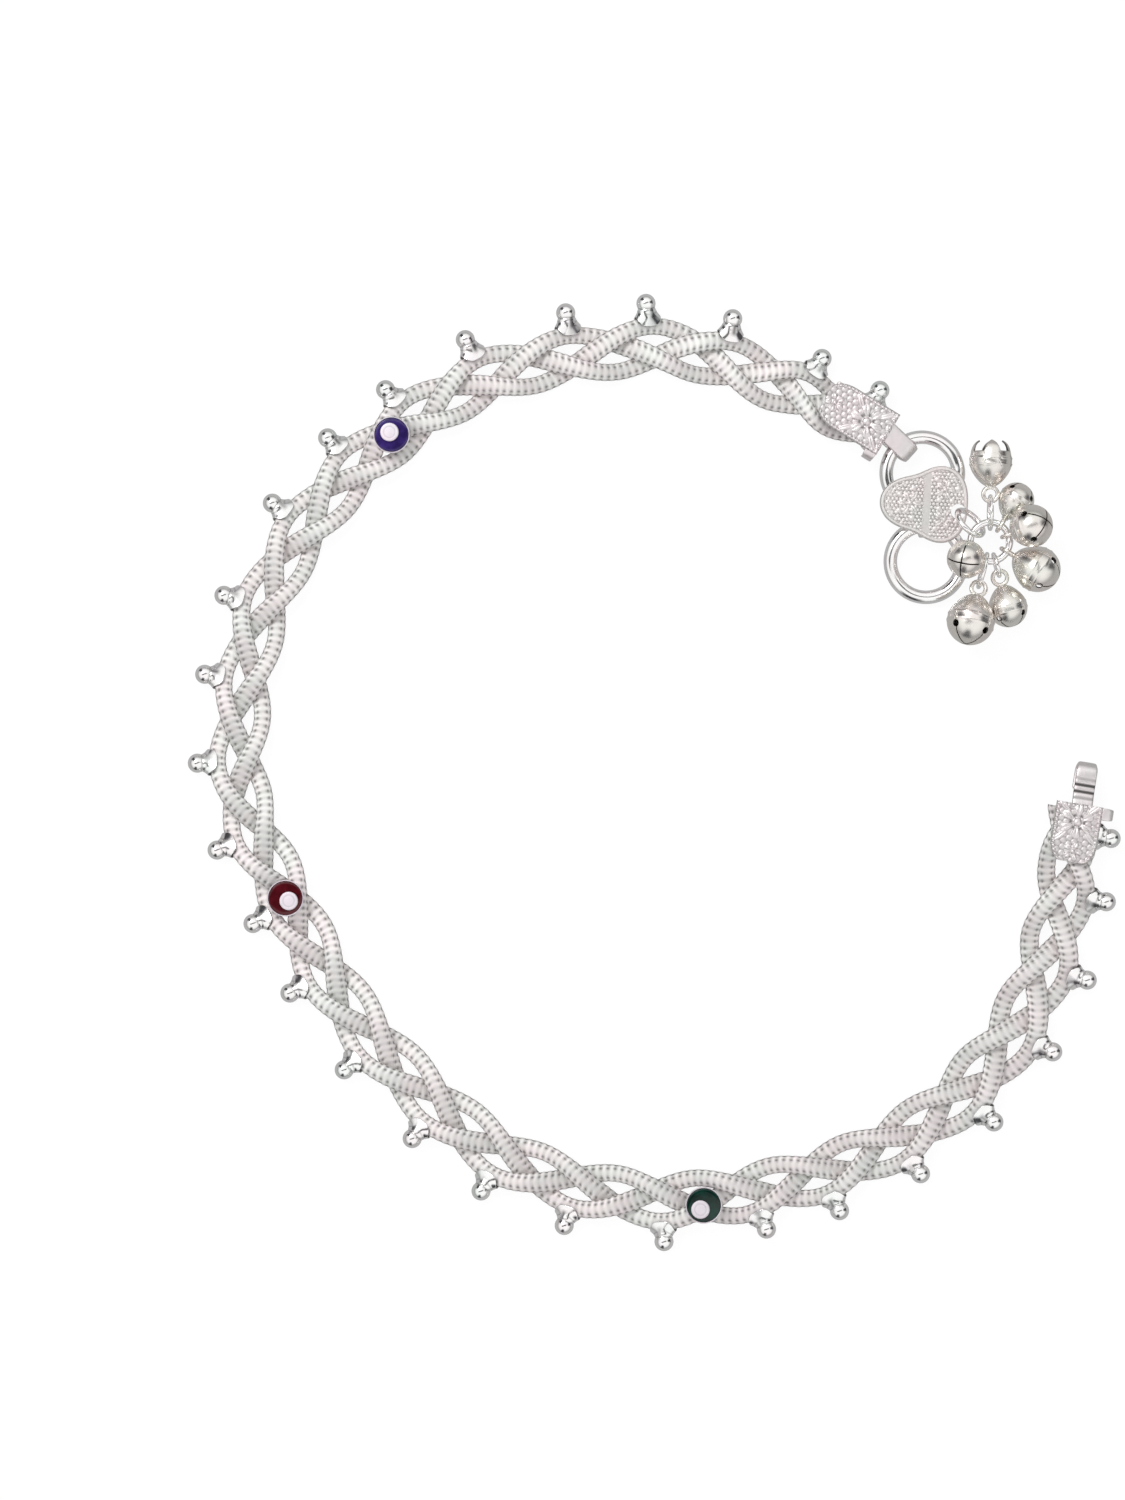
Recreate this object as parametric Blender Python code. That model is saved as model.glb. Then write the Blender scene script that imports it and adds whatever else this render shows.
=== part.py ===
"""A silver anklet lying open on a table.

Three flat chain strands are plaited into a band. A small ball on a crimped skirt
sits on every outer bow of the plait, three enamelled studs sit on top of it,
and stamped caps close both ends. One cap carries a folded hook. The other carries
a ring, a heart plate, a second ring and a bunch of small bells.

Lengths are in millimetres and become metres in add_object. +Z is up and the band
lies on z = 0.
"""

import math

import bmesh
import bpy
import numpy as np
from mathutils import Matrix, Vector

MM = 0.001
GAP = 0.3

# Middle line of the band on the table, from the hook's cap to the ring's cap
CENTRE = (-0.338, -0.286)
BAND_ROUTE = (
    (50.8, 1.1), (50.1, -3.8), (49.2, -8.7), (48.2, -13.8), (45.5, -24.1), (40.2, -33.6),
    (32.4, -41.0), (22.9, -46.2), (12.7, -49.3), (2.2, -50.6), (-8.3, -49.2), (-18.3, -45.2),
    (-26.7, -38.6), (-34.0, -30.9), (-39.9, -22.1), (-44.7, -12.7), (-48.8, -2.8), (-48.8, 7.9),
    (-46.7, 18.3), (-42.0, 27.8), (-35.3, 35.9), (-27.3, 42.4), (-18.0, 47.1), (-7.6, 49.3),
    (2.9, 49.8), (12.8, 46.5), (22.1, 42.8), (27.4, 39.8),
)
ROUTE_SAMPLES = 4000
SLOPE_REACH = 0.3

# The plait: three strands, each a flat oval, bowing outwards once in three drops
STRANDS = 3
BOW = 2.45
BOW_POINT = 0.03
LIFT = 0.9
STRAND_HALF_WIDTH = 1.38
STRAND_BOW_NARROWING = 0.26
STRAND_HALF_THICK = 0.45
STRAND_SIDES = 8
STATIONS_PER_BOW = 4
BAND_MIDDLE_Z = LIFT + STRAND_HALF_THICK + 0.05
START_SWELL = 0.1
START_SWELL_FROM = 52.0
START_SWELL_TO = 36.0
END_CALM = 0.12
END_CALM_REACH = 9.0
END_SHIFT = 0.6
END_SHIFT_FROM = 13.5
END_SHIFT_TO = 8.0
END_RISE = 0.4
END_RISE_FROM = 13.0
END_RISE_TO = 8.0

# Some outer bows of the plait: number of the bow, and its distance along the band's middle line
BOW_MARKS = (
    (0, 8.1), (2, 25.2), (4, 44.1), (8, 81.6), (10, 101.1), (13, 131.0), (16, 158.6), (20, 197.0), (23, 225.7),
    (26, 254.6), (27, 262.6),
)
LAST_BOW = 27
BOW_TABLE_SIZE = 1200

# The ball of each drop: distance along the band's middle line
BALL_PLACES = (
    8.3, 15.6, 24.5, 32.7, 42.2, 51.7, 61.3, 69.6, 80.7, 91.5, 100.9, 110.1, 120.9, 131.2,
    140.1, 149.5, 158.2, 167.9, 176.5, 187.6, 196.8, 204.9, 214.9, 226.0, 234.8, 243.3, 254.9, 261.9,
)

# A drop's skirt and ball: distance outward of the strand's edge, half width, half height
BALL_RADIUS = 1.13
BALL_OUT = 1.35
FAR_BALL_OUT = 1.7
FAR_BALLS = (22, 23, 24, 25)
BALL_ROWS = (115, 90, 45)
SKIRT = ((-1.0, 0.75, 0.92), (-0.5, 1.8, 0.93), (0.1, 1.95, 0.93), (0.4, 1.35, 0.97))
SLOT_HALF_HEIGHT = 0.65
SLOT_PAST_EDGE = 0.22
SLOT_REACH = 4.0
DROP_SIDES = 10

# Stamped end caps
HOOK_CAP_AT = 5.0
STRAND_END_GAP = 0.65
CAP_HALF_WIDTH = 2.75
CAP_SHIFT = 0.25
CAP_UNDER_Z = 3.3
CAP_THICK = 0.45
CAP_RELIEF = 0.4
CAP_WALL = 0.35
HOOK_CAP_LENGTH = 6.9
RING_CAP_LENGTH = 8.6
CAP_NOSE_LENGTH = 2.6
CAP_NOSE_HALF_WIDTH = 1.3
CAP_ROWS = 14
CAP_COLUMNS = 10
CAP_FLOOR = 0.35
CAP_FLOOR_HALF_WIDTH = 2.5
CAP_FLOWER_RADIUS = 2.3
CAP_PETALS = 6
NOSE_FLOWER_RADIUS = 1.2
NOSE_PETALS = 4
SOLDER = 0.2
STEP_BACK = 0.02

# The flange hangs from a cap's side: distance outward and height, round its section
FLANGE_LENGTH = 1.45
FLANGE_INSET = 0.05
FLANGE_SECTION = ((2.45, 3.35), (3.6, 3.2), (3.6, 1.0), (3.9, 1.0), (3.9, 3.45), (2.45, 3.65))

# Hook and folded loop, both bent from a strap
STRAP_WIDTH = 2.45
HOOK_THICK = 0.5
HOOK_LENGTH = 5.0
HOOK_TOP_Z = 2.95
HOOK_LOW_Z = 0.75
HOOK_START = ((-0.6, 3.5), (0.3, 3.4), (1.2, 3.05), (2.0, 2.95))
HOOK_END = (1.7, 0.75)
LOOP_THICK = 0.4
LOOP_TIP = 3.8
LOOP_LOW_Z = 0.3
LOOP_START = ((-0.6, 3.5), (0.3, 3.35))
LOOP_END = ((0.4, 0.3), (-0.25, 0.3))
LOOP_TURN = -11.0
STRAP_ARC_STEPS = 8

# Rings
RING_OUTER_RADIUS = 5.04
RING_WIRE_RADIUS = 0.8
RING_Z = 1.55
UPPER_RING = (31.4, 35.2)
LOWER_RING = (31.9, 24.8)
LOWER_RING_TILT = 4.0
RING_STEPS = 24
RING_SIDES = 6
UPRIGHT = 0.9

# Heart plate: distances from its middle to the outline every 45 degrees, notch first
HEART_MIDDLE = (32.2, 31.5)
HEART_TURN = -3.0
HEART_OUTLINE = (4.5, 5.0, 4.25, 4.3, 5.9)
HEART_THICK = 0.5
HEART_RELIEF = 0.35
HEART_SECTORS = 24
HEART_RINGS = (0.2, 0.42, 0.62, 0.8, 0.9, 1.0)
HEART_HOLE_AT = (3.5, -12.0)
HEART_HOLE_RADIUS = 0.9
BAIL_HALF_SPAN = 2.2
BAIL_THICK = 0.34
BAIL_WIDTH = 1.6
BAIL_LOW_Z = 0.25
BAIL_CORNER = 0.6

# Bunch ring, the link that hangs it on the heart, and the bells' own links
BUNCH_RADIUS = 2.3
BUNCH_WIRE = 0.4
BUNCH_Z = 2.7
BUNCH_TURN = -43.5
HEART_LINK_RADIUS = 1.9
HEART_LINK_WIRE = 0.35
HEART_LINK_LEAN = 30.0
LINK_WIRE = 0.25
LINK_STEPS = 14
HEART_LINK_STEPS = 16
BUNCH_STEPS = 18
LINK_SIDES = 6

# Bells: name, direction around the bunch ring, rise, body radius, radius of its extra link or 0
BELLS = (
    ("bell_1", 89.5, 0.0, 2.5, 1.9),
    ("bell_2", 57.5, -6.0, 2.1, 0.0),
    ("bell_3", 21.0, 48.0, 2.5, 0.0),
    ("bell_4", -30.0, 2.5, 2.7, 0.0),
    ("bell_5", -74.7, -2.5, 2.3, 1.3),
    ("bell_6", -104.5, 14.0, 2.8, 2.0),
    ("bell_7", 215.0, 66.0, 2.2, 0.0),
)
BELL_LOOP_RADIUS = 0.85
BELL_LOOP_STEPS = 8
BELL_NECK_RADIUS = 0.5
BELL_NECK_LENGTH = 1.35
BELL_WALL = 0.35
BELL_SIDES = 10
BELL_OUTER_ROWS = (150, 120, 90, 60, 32)
BELL_INNER_ROWS = (34, 75, 120)
BELL_SLIT_WIDTH = 0.5
BELL_SLIT_SPAN = 0.75

# Enamelled studs: name, distance along the band, distance outward, pin head's offset
STUDS = (
    ("green", 76.3, 0.55, (-0.39, -0.48), (0.0, 0.04, 0.02)),
    ("red", 141.1, 0.0, (0.40, -0.32), (0.12, 0.0, 0.01)),
    ("violet", 202.4, 0.0, (-0.24, 0.30), (0.03, 0.01, 0.12)),
)
STUD_RADIUS = 2.15
STUD_RIM = 0.2
STUD_BASE_Z = 2.85
STUD_FLOOR = 0.3
STUD_HEIGHT = 0.95
ENAMEL_GAP = 0.06
ENAMEL_TOP = 0.85
PIN_HEAD_RADIUS = 1.1
PIN_HEAD_THICK = 0.3
PIN_RADIUS = 0.5
STUD_SIDES = 12

SILVER = ("silver", (0.9, 0.9, 0.9), 1.0, 0.2)
CHAIN_SILVER = ("chain silver", (0.85, 0.85, 0.85), 1.0, 0.35)
ENAMEL_ROUGHNESS = 0.15


def clear_scene():
    for obj in list(bpy.data.objects):
        bpy.data.objects.remove(obj, do_unlink=True)


def make_material(name, colour, metallic, roughness):
    material = bpy.data.materials.new(name)
    material.use_nodes = True
    shader = material.node_tree.nodes["Principled BSDF"]
    shader.inputs["Base Color"].default_value = (*colour, 1.0)
    shader.inputs["Metallic"].default_value = metallic
    shader.inputs["Roughness"].default_value = roughness
    return material


def add_object(name, verts, faces, finish=None, smooth_angle=35.0):
    """Object from points in millimetres; faces index the points."""
    mesh = bpy.data.meshes.new(name)
    mesh.from_pydata([tuple(MM * float(c) for c in v) for v in verts], [], faces)
    bm = bmesh.new()
    bm.from_mesh(mesh)
    bmesh.ops.recalc_face_normals(bm, faces=bm.faces)
    bm.to_mesh(mesh)
    bm.free()
    mesh.shade_smooth()
    mesh.set_sharp_from_angle(angle=math.radians(smooth_angle))
    obj = bpy.data.objects.new(name, mesh)
    bpy.context.collection.objects.link(obj)
    if finish:
        obj.data.materials.append(make_material(f"{name} {finish[0]}", *finish[1:]))
    return obj


def combine(base, tool, operation, smooth_angle=35.0):
    """Boolean of two objects; the tool goes and the base keeps the result."""
    modifier = base.modifiers.new(operation, "BOOLEAN")
    modifier.operation = operation
    modifier.object = tool
    bpy.context.view_layer.update()
    evaluated = base.evaluated_get(bpy.context.evaluated_depsgraph_get())
    mesh = bpy.data.meshes.new_from_object(evaluated)
    mesh.name = base.name
    base.modifiers.clear()
    base.data = mesh
    mesh.shade_smooth()
    mesh.set_sharp_from_angle(angle=math.radians(smooth_angle))
    bpy.data.objects.remove(tool, do_unlink=True)


def frame_matrix(origin, x_axis, y_axis):
    """Placement with the given origin in millimetres, x along x_axis and y near y_axis."""
    x = Vector(x_axis).normalized()
    z = x.cross(Vector(y_axis)).normalized()
    y = z.cross(x)
    matrix = Matrix((x, y, z)).transposed().to_4x4()
    matrix.translation = Vector(origin) * MM
    return matrix


def flat_direction(degrees):
    return np.array([math.cos(math.radians(degrees)), math.sin(math.radians(degrees)), 0.0])


def rings_solid(rings, closed=False, start_pole=None, end_pole=None):
    """Points and faces of a skin over rings of equal length, closed at its ends.

    An end is a flat face, or a fan to a pole; a closed row of rings joins its last to its first.
    """
    count = len(rings[0])
    verts = [point for ring in rings for point in ring]
    faces = []
    rows = len(rings)
    for r in range(rows if closed else rows - 1):
        a = r * count
        b = ((r + 1) % rows) * count
        faces += [(a + k, a + (k + 1) % count, b + (k + 1) % count, b + k) for k in range(count)]
    if closed:
        return verts, faces
    for pole, row in ((start_pole, 0), (end_pole, rows - 1)):
        first = row * count
        if pole is None:
            faces.append(tuple(range(first, first + count)))
        else:
            verts.append(pole)
            tip = len(verts) - 1
            faces += [(first + k, first + (k + 1) % count, tip) for k in range(count)]
    return verts, faces


def natural_spline(knots, values, at):
    """Natural cubic spline through values at the knots, read at the given places."""
    knots = np.asarray(knots, float)
    values = np.asarray(values, float)
    count = len(knots)
    step = np.diff(knots)
    system = np.eye(count)
    right = np.zeros_like(values)
    slope = np.diff(values, axis=0) / (step[:, None] if values.ndim > 1 else step)
    for i in range(1, count - 1):
        system[i, i - 1:i + 2] = step[i - 1], 2 * (step[i - 1] + step[i]), step[i]
        right[i] = 6 * (slope[i] - slope[i - 1])
    bend = np.linalg.solve(system, right)
    i = np.clip(np.searchsorted(knots, at, side="right") - 1, 0, count - 2)
    b = (at - knots[i]) / step[i]
    a = 1 - b
    square = step[i] ** 2 / 6
    if values.ndim > 1:
        a, b, square = a[:, None], b[:, None], square[:, None]
    return a * values[i] + b * values[i + 1] + ((a**3 - a) * bend[i] + (b**3 - b) * bend[i + 1]) * square


def ease(start, end, x):
    """Smooth step from 0 at start to 1 at end."""
    share = min(max((start - x) / (start - end), 0), 1)
    return share * share * (3 - 2 * share)


class Band:
    """Middle line of the band, and where the plait's strands run along it."""

    def __init__(self):
        route = np.array(BAND_ROUTE) - np.array(CENTRE)
        knots = np.r_[0, np.cumsum(np.linalg.norm(np.diff(route, axis=0), axis=1))]
        self.line = natural_spline(knots, route, np.linspace(0, knots[-1], ROUTE_SAMPLES))
        self.length_at = np.r_[0, np.cumsum(np.linalg.norm(np.diff(self.line, axis=0), axis=1))]
        self.length = float(self.length_at[-1])
        bows, places = zip(*BOW_MARKS)
        numbers = np.linspace(-1, LAST_BOW + 1, BOW_TABLE_SIZE)
        self.bow_places = natural_spline(bows, places, np.clip(numbers, 0, LAST_BOW))
        first = (places[1] - places[0]) / (bows[1] - bows[0])
        self.bow_places += first * np.minimum(numbers, 0) + first * np.maximum(numbers - LAST_BOW, 0)
        self.bow_numbers = numbers

    def point(self, s):
        return np.array([np.interp(s, self.length_at, self.line[:, k]) for k in (0, 1)])

    def directions(self, s):
        """Along the band and outwards, at a distance along it."""
        along = self.point(s + 0.2) - self.point(s - 0.2)
        along /= np.linalg.norm(along)
        return np.array([*along, 0.0]), np.array([-along[1], along[0], 0.0])

    def bow_number(self, s):
        return float(np.interp(s, self.bow_places, self.bow_numbers))

    def bow_place(self, number):
        return float(np.interp(number, self.bow_numbers, self.bow_places))

    def spread(self, s):
        """The plait is a little wider along its first part and narrows towards both caps."""
        near = min(s - HOOK_CAP_AT, self.length - s) / END_CALM_REACH
        swell = START_SWELL * ease(START_SWELL_FROM, START_SWELL_TO, s)
        return (1.0 + swell) * (1.0 - END_CALM * math.exp(-near**2))

    def rise(self, s):
        """Both ends climb onto the floors of their caps."""
        return END_RISE * ease(END_RISE_FROM, END_RISE_TO, min(s - HOOK_CAP_AT, self.length - s))

    def strand(self, s, number):
        """Sideways place, height and half width of a strand at a distance along the band."""
        phase = 2 * math.pi * (self.bow_number(s) - number) / STRANDS + math.pi / 2
        side = BOW * (math.sin(phase) - BOW_POINT * math.sin(3 * phase))
        height = BAND_MIDDLE_Z + LIFT * math.sin(2 * phase) + self.rise(s)
        half_width = STRAND_HALF_WIDTH * (1 - STRAND_BOW_NARROWING * math.sin(phase) ** 2)
        shift = END_SHIFT * ease(END_SHIFT_FROM, END_SHIFT_TO, min(s, self.length - s))
        return side * self.spread(s) - shift, height, half_width * self.spread(s)

    def edge_slope(self, s, number):
        """How fast a strand's outer edge moves outwards, and its middle upwards, along the band."""
        before, after = self.strand(s - SLOPE_REACH, number), self.strand(s + SLOPE_REACH, number)
        outwards = (after[0] + after[2] - before[0] - before[2]) / (2 * SLOPE_REACH)
        return outwards, (after[1] - before[1]) / (2 * SLOPE_REACH)


def build_strand(band, number):
    """Flat oval carried along one strand's way through the plait."""
    start = HOOK_CAP_AT + STRAND_END_GAP
    end = band.length - STRAND_END_GAP
    first = math.ceil(band.bow_number(start) * STATIONS_PER_BOW)
    last = math.floor(band.bow_number(end) * STATIONS_PER_BOW)
    inner = [band.bow_place(k / STATIONS_PER_BOW) for k in range(first, last + 1)]
    stations = [start] + [s for s in inner if start + 1 < s < end - 1] + [end]
    turns = 2 * math.pi * (np.arange(STRAND_SIDES) + 0.5) / STRAND_SIDES
    rings = []
    for s in stations:
        side, height, half_width = band.strand(s, number)
        _, out = band.directions(s)
        middle = np.array([*band.point(s), height]) + out * side
        ring = middle + half_width * np.cos(turns)[:, None] * out
        ring[:, 2] += STRAND_HALF_THICK * np.sin(turns)
        rings.append(ring)
    return add_object(f"strand_{number + 1}", *rings_solid(rings), CHAIN_SILVER)


def drop_template(ball_out):
    """Ball on a skirt of oval rings along +Y, slotted so that the skirt clips a strand."""
    ball = [(ball_out + BALL_RADIUS * math.cos(a), BALL_RADIUS * math.sin(a))
            for a in np.radians(BALL_ROWS)]
    rows = [*SKIRT, *((y, r, r) for y, r in ball)]
    turns = 2 * math.pi * np.arange(DROP_SIDES) / DROP_SIDES
    rings = [[(w * math.cos(a), y, h * math.sin(a)) for a in turns] for y, w, h in rows]
    drop = add_object("drop", *rings_solid(rings, end_pole=(0, ball_out + BALL_RADIUS, 0)))
    reach, high = SLOT_REACH, SLOT_HALF_HEIGHT
    slot = box("slot", (-reach, -reach, -high), (reach, SLOT_PAST_EDGE, high))
    combine(drop, slot, "DIFFERENCE")
    return drop


def box(name, low, high):
    x0, y0, z0 = low
    x1, y1, z1 = high
    rings = [[(x0, y0, z), (x1, y0, z), (x1, y1, z), (x0, y1, z)] for z in (z0, z1)]
    return add_object(name, *rings_solid(rings))


def build_drops(band):
    """One drop near every outer bow, square to the edge of its strand."""
    templates = {out: drop_template(out) for out in (BALL_OUT, FAR_BALL_OUT)}
    for number, place in enumerate(BALL_PLACES):
        ball_out = FAR_BALL_OUT if number in FAR_BALLS else BALL_OUT
        strand = number % STRANDS
        s = place + ball_out * band.edge_slope(place, strand)[0]
        side, height, half_width = band.strand(s, strand)
        outwards, upwards = band.edge_slope(s, strand)
        along, out = band.directions(s)
        origin = np.array([*band.point(s), height]) + out * (side + half_width)
        drop = bpy.data.objects.new(f"ball_drop_{number + 1:02d}", templates[ball_out].data.copy())
        drop.data.materials.append(make_material(f"ball {number + 1} silver", *SILVER[1:]))
        drop.matrix_world = frame_matrix(origin, along + out * outwards + np.array([0, 0, upwards]), out)
        bpy.context.collection.objects.link(drop)
    for template in templates.values():
        bpy.data.objects.remove(template, do_unlink=True)


def flower(x, y, radius, petals):
    """Height from 0 to 1 of a flower: a round eye and a wreath of petals."""
    distance = np.hypot(x, y) / radius
    eye = np.clip(1 - (distance / 0.3) ** 2, 0, 1)
    wreath = np.clip(1 - ((distance - 0.68) / 0.32) ** 2, 0, 1)
    return np.maximum(eye, wreath * (0.45 + 0.55 * np.cos(petals * np.arctan2(y, x))))


def cap_half_width(x, length):
    """The cap is straight, then rounds to a narrow nose over the plait."""
    into_nose = np.clip((-x - (length - CAP_NOSE_LENGTH)) / CAP_NOSE_LENGTH, 0, 1)
    return CAP_NOSE_HALF_WIDTH + (CAP_HALF_WIDTH - CAP_NOSE_HALF_WIDTH) * np.sqrt(1 - into_nose**2)


def build_cap(name, length, shift):
    """Stamped plate with raised flowers, an end wall, a floor and a flange at -Y; x=0 is its strap end.

    The plate's middle is shifted along Y, towards the hollow of the anklet.
    """
    x = np.linspace(-length, 0, CAP_ROWS)[:, None]
    y = cap_half_width(x, length) * np.linspace(-1, 1, CAP_COLUMNS)[None, :]
    x = np.broadcast_to(x, y.shape)
    middle = -(length - CAP_NOSE_LENGTH) / 2
    nose = CAP_NOSE_LENGTH / 2 - length
    relief = np.maximum(flower(x - middle, y, CAP_FLOWER_RADIUS, CAP_PETALS),
                        flower(x - nose, y, NOSE_FLOWER_RADIUS, NOSE_PETALS))
    top = np.stack([x, y + shift, CAP_UNDER_Z + CAP_THICK + CAP_RELIEF * np.clip(relief, 0, 1)], -1)
    edge = [(i, 0) for i in range(CAP_ROWS)]
    edge += [(CAP_ROWS - 1, j) for j in range(1, CAP_COLUMNS)]
    edge += [(i, CAP_COLUMNS - 1) for i in range(CAP_ROWS - 2, -1, -1)]
    edge += [(0, j) for j in range(CAP_COLUMNS - 2, 0, -1)]
    verts = [tuple(p) for p in top.reshape(-1, 3)]
    faces = []
    for i in range(CAP_ROWS - 1):
        for j in range(CAP_COLUMNS - 1):
            a = i * CAP_COLUMNS + j
            faces.append((a, a + 1, a + CAP_COLUMNS + 1, a + CAP_COLUMNS))
    under = len(verts)
    verts += [(*top[i, j, :2], CAP_UNDER_Z) for i, j in edge]
    count = len(edge)
    for k in range(count):
        a = edge[k][0] * CAP_COLUMNS + edge[k][1]
        b = edge[(k + 1) % count][0] * CAP_COLUMNS + edge[(k + 1) % count][1]
        faces.append((a, b, under + (k + 1) % count, under + k))
    faces.append(tuple(range(under, under + count)))
    cap = add_object(name, verts, faces, SILVER)
    section = [(0, 0), (CAP_WALL - length, 0), (CAP_WALL - length, CAP_FLOOR), (-CAP_WALL, CAP_FLOOR),
               (-CAP_WALL, CAP_UNDER_Z + SOLDER), (0, CAP_UNDER_Z + SOLDER)]
    rings = [[(px - STEP_BACK, py, pz) for px, pz in section]
             for py in (-CAP_FLOOR_HALF_WIDTH, CAP_FLOOR_HALF_WIDTH)]
    combine(cap, add_object("floor", *rings_solid(rings)), "UNION")
    rings = [[(px, -py, pz) for py, pz in FLANGE_SECTION] for px in (-FLANGE_LENGTH, -FLANGE_INSET)]
    combine(cap, add_object("flange", *rings_solid(rings)), "UNION")
    return cap


def strap(name, path, thick, width):
    """Solid strap of a given thickness along a path in the x-z plane, width across y."""
    path = np.asarray(path, float)
    along = np.gradient(path, axis=0)
    along /= np.linalg.norm(along, axis=1)[:, None]
    across = np.stack([-along[:, 1], along[:, 0]], 1) * thick / 2
    half = width / 2
    rings = []
    for (x, z), (dx, dz) in zip(path, across):
        rings.append([(x + dx, -half, z + dz), (x + dx, half, z + dz),
                      (x - dx, half, z - dz), (x - dx, -half, z - dz)])
    return add_object(name, *rings_solid(rings))


def half_turn(x, z, radius):
    """Half circle in the x-z plane, from above its middle round to below it."""
    turns = np.linspace(math.pi / 2, -math.pi / 2, STRAP_ARC_STEPS + 1)
    return [(x + radius * math.cos(a), z + radius * math.sin(a)) for a in turns]


def build_hook_cap(band):
    cap = build_cap("end_cap_hook", HOOK_CAP_LENGTH, CAP_SHIFT)
    radius = (HOOK_TOP_Z - HOOK_LOW_Z) / 2
    bend_x = HOOK_LENGTH - radius - HOOK_THICK / 2
    path = [*HOOK_START, *half_turn(bend_x, (HOOK_TOP_Z + HOOK_LOW_Z) / 2, radius), HOOK_END]
    combine(cap, strap("hook", path, HOOK_THICK, STRAP_WIDTH), "UNION")
    along, out = band.directions(HOOK_CAP_AT)
    cap.matrix_world = frame_matrix((*band.point(HOOK_CAP_AT), 0), -along, -out)


def build_ring_cap(band):
    cap = build_cap("end_cap_ring", RING_CAP_LENGTH, -CAP_SHIFT)
    radius = RING_Z - LOOP_LOW_Z
    path = [*LOOP_START, *half_turn(LOOP_TIP - radius - LOOP_THICK / 2, RING_Z, radius), *LOOP_END]
    loop = strap("loop", path, LOOP_THICK, STRAP_WIDTH)
    loop.rotation_euler.z = math.radians(LOOP_TURN)
    combine(cap, loop, "UNION")
    along, out = band.directions(band.length - SLOPE_REACH)
    cap.matrix_world = frame_matrix((*band.point(band.length), 0), along, out)


def wire_ring(name, middle, radius, wire, normal, steps, sides, finish=SILVER):
    """Round wire ring about a normal."""
    turns = 2 * math.pi * np.arange(steps) / steps
    rounds = 2 * math.pi * (np.arange(sides) + 0.5) / sides
    rings = [[((radius + wire * math.cos(b)) * math.cos(a), (radius + wire * math.cos(b)) * math.sin(a),
               wire * math.sin(b)) for b in rounds] for a in turns]
    ring = add_object(name, *rings_solid(rings, closed=True), finish, 60)
    normal = Vector(normal)
    side = Vector((0, 0, 1)) if abs(normal.z) < UPRIGHT else Vector((0, 1, 0))
    x_axis = side.cross(normal)
    ring.matrix_world = frame_matrix(middle, x_axis, normal.cross(x_axis))
    return ring


def on_table(place):
    return np.array(place) - np.array(CENTRE)


def build_rings():
    upper, lower = on_table(UPPER_RING), on_table(LOWER_RING)
    radius = RING_OUTER_RADIUS - RING_WIRE_RADIUS
    wire_ring("ring_upper", (*upper, RING_Z), radius, RING_WIRE_RADIUS, (0, 0, 1), RING_STEPS, RING_SIDES)
    away = (lower - upper) / np.linalg.norm(lower - upper)
    tilt = math.radians(LOWER_RING_TILT)
    normal = (math.sin(tilt) * away[0], math.sin(tilt) * away[1], math.cos(tilt))
    middle = (*lower, RING_Z - radius * math.sin(tilt))
    wire_ring("ring_lower", middle, radius, RING_WIRE_RADIUS, normal, RING_STEPS, RING_SIDES)


def heart_radius(angle):
    """Outline through five named distances, as a sum of cosines of the angle."""
    orders = np.arange(len(HEART_OUTLINE))
    known = np.radians(45.0 * orders)
    weights = np.linalg.solve(np.cos(np.outer(known, orders)), HEART_OUTLINE)
    return float(np.cos(orders * angle) @ weights)


def heart_relief(share, angle):
    """Raised rim and a sprig of six leaves round a bud, from 0 to 1."""
    rim = 0.8 if share > 0.85 else 0.0
    leaf = max(0.0, 1 - ((share - 0.5) / 0.3) ** 2) * (0.5 + 0.5 * math.cos(6 * angle))
    bud = max(0.0, 1 - (share / 0.25) ** 2)
    return max(rim, leaf, bud)


def build_heart():
    """Heart-shaped plate with a bail under it round both rings and a hole at its notch."""
    under = RING_Z + RING_WIRE_RADIUS + GAP
    turns = 2 * math.pi * np.arange(HEART_SECTORS) / HEART_SECTORS

    def ring(share, z=None):
        points = []
        for a in turns:
            r = share * heart_radius(a)
            high = under + HEART_THICK + HEART_RELIEF * heart_relief(share, a)
            points.append((r * math.cos(a), r * math.sin(a), high if z is None else z))
        return points

    rings = [ring(share) for share in HEART_RINGS] + [ring(1.0, under)]
    bud = (0, 0, under + HEART_THICK + HEART_RELIEF)
    heart = add_object("heart_plate", *rings_solid(rings, start_pole=bud), SILVER)
    middle = on_table(HEART_MIDDLE)
    axis = flat_direction(HEART_TURN)
    heart.matrix_world = frame_matrix((*middle, 0), axis, (-axis[1], axis[0], 0))

    hole_steps = 2 * math.pi * np.arange(12) / 12
    hole = heart_hole(middle)
    rings = [[(hole[0] + HEART_HOLE_RADIUS * math.cos(a), hole[1] + HEART_HOLE_RADIUS * math.sin(a), z)
              for a in hole_steps] for z in (under - 1, under + 2)]
    combine(heart, add_object("hole", *rings_solid(rings)), "DIFFERENCE")

    corner = [(BAIL_CORNER * math.sin(a), BAIL_CORNER * (1 - math.cos(a)))
              for a in np.radians((90, 60, 30, 0))]
    straight = BAIL_HALF_SPAN - BAIL_CORNER
    right = [(straight + x, BAIL_LOW_Z + z) for x, z in corner]
    path = [(BAIL_HALF_SPAN, under + 0.2), *right]
    path += [(-x, z) for x, z in reversed(path)]
    bail = strap("bail", path, BAIL_THICK, BAIL_WIDTH)
    upper, lower = on_table(UPPER_RING), on_table(LOWER_RING)
    away = np.array([*(lower - upper), 0.0])
    bail.matrix_world = frame_matrix((*(upper + lower) / 2, 0), away, (-away[1], away[0], 0))
    combine(heart, bail, "UNION")


def heart_hole(middle):
    reach, turn = HEART_HOLE_AT
    return middle + reach * flat_direction(HEART_TURN + turn)[:2]


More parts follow.
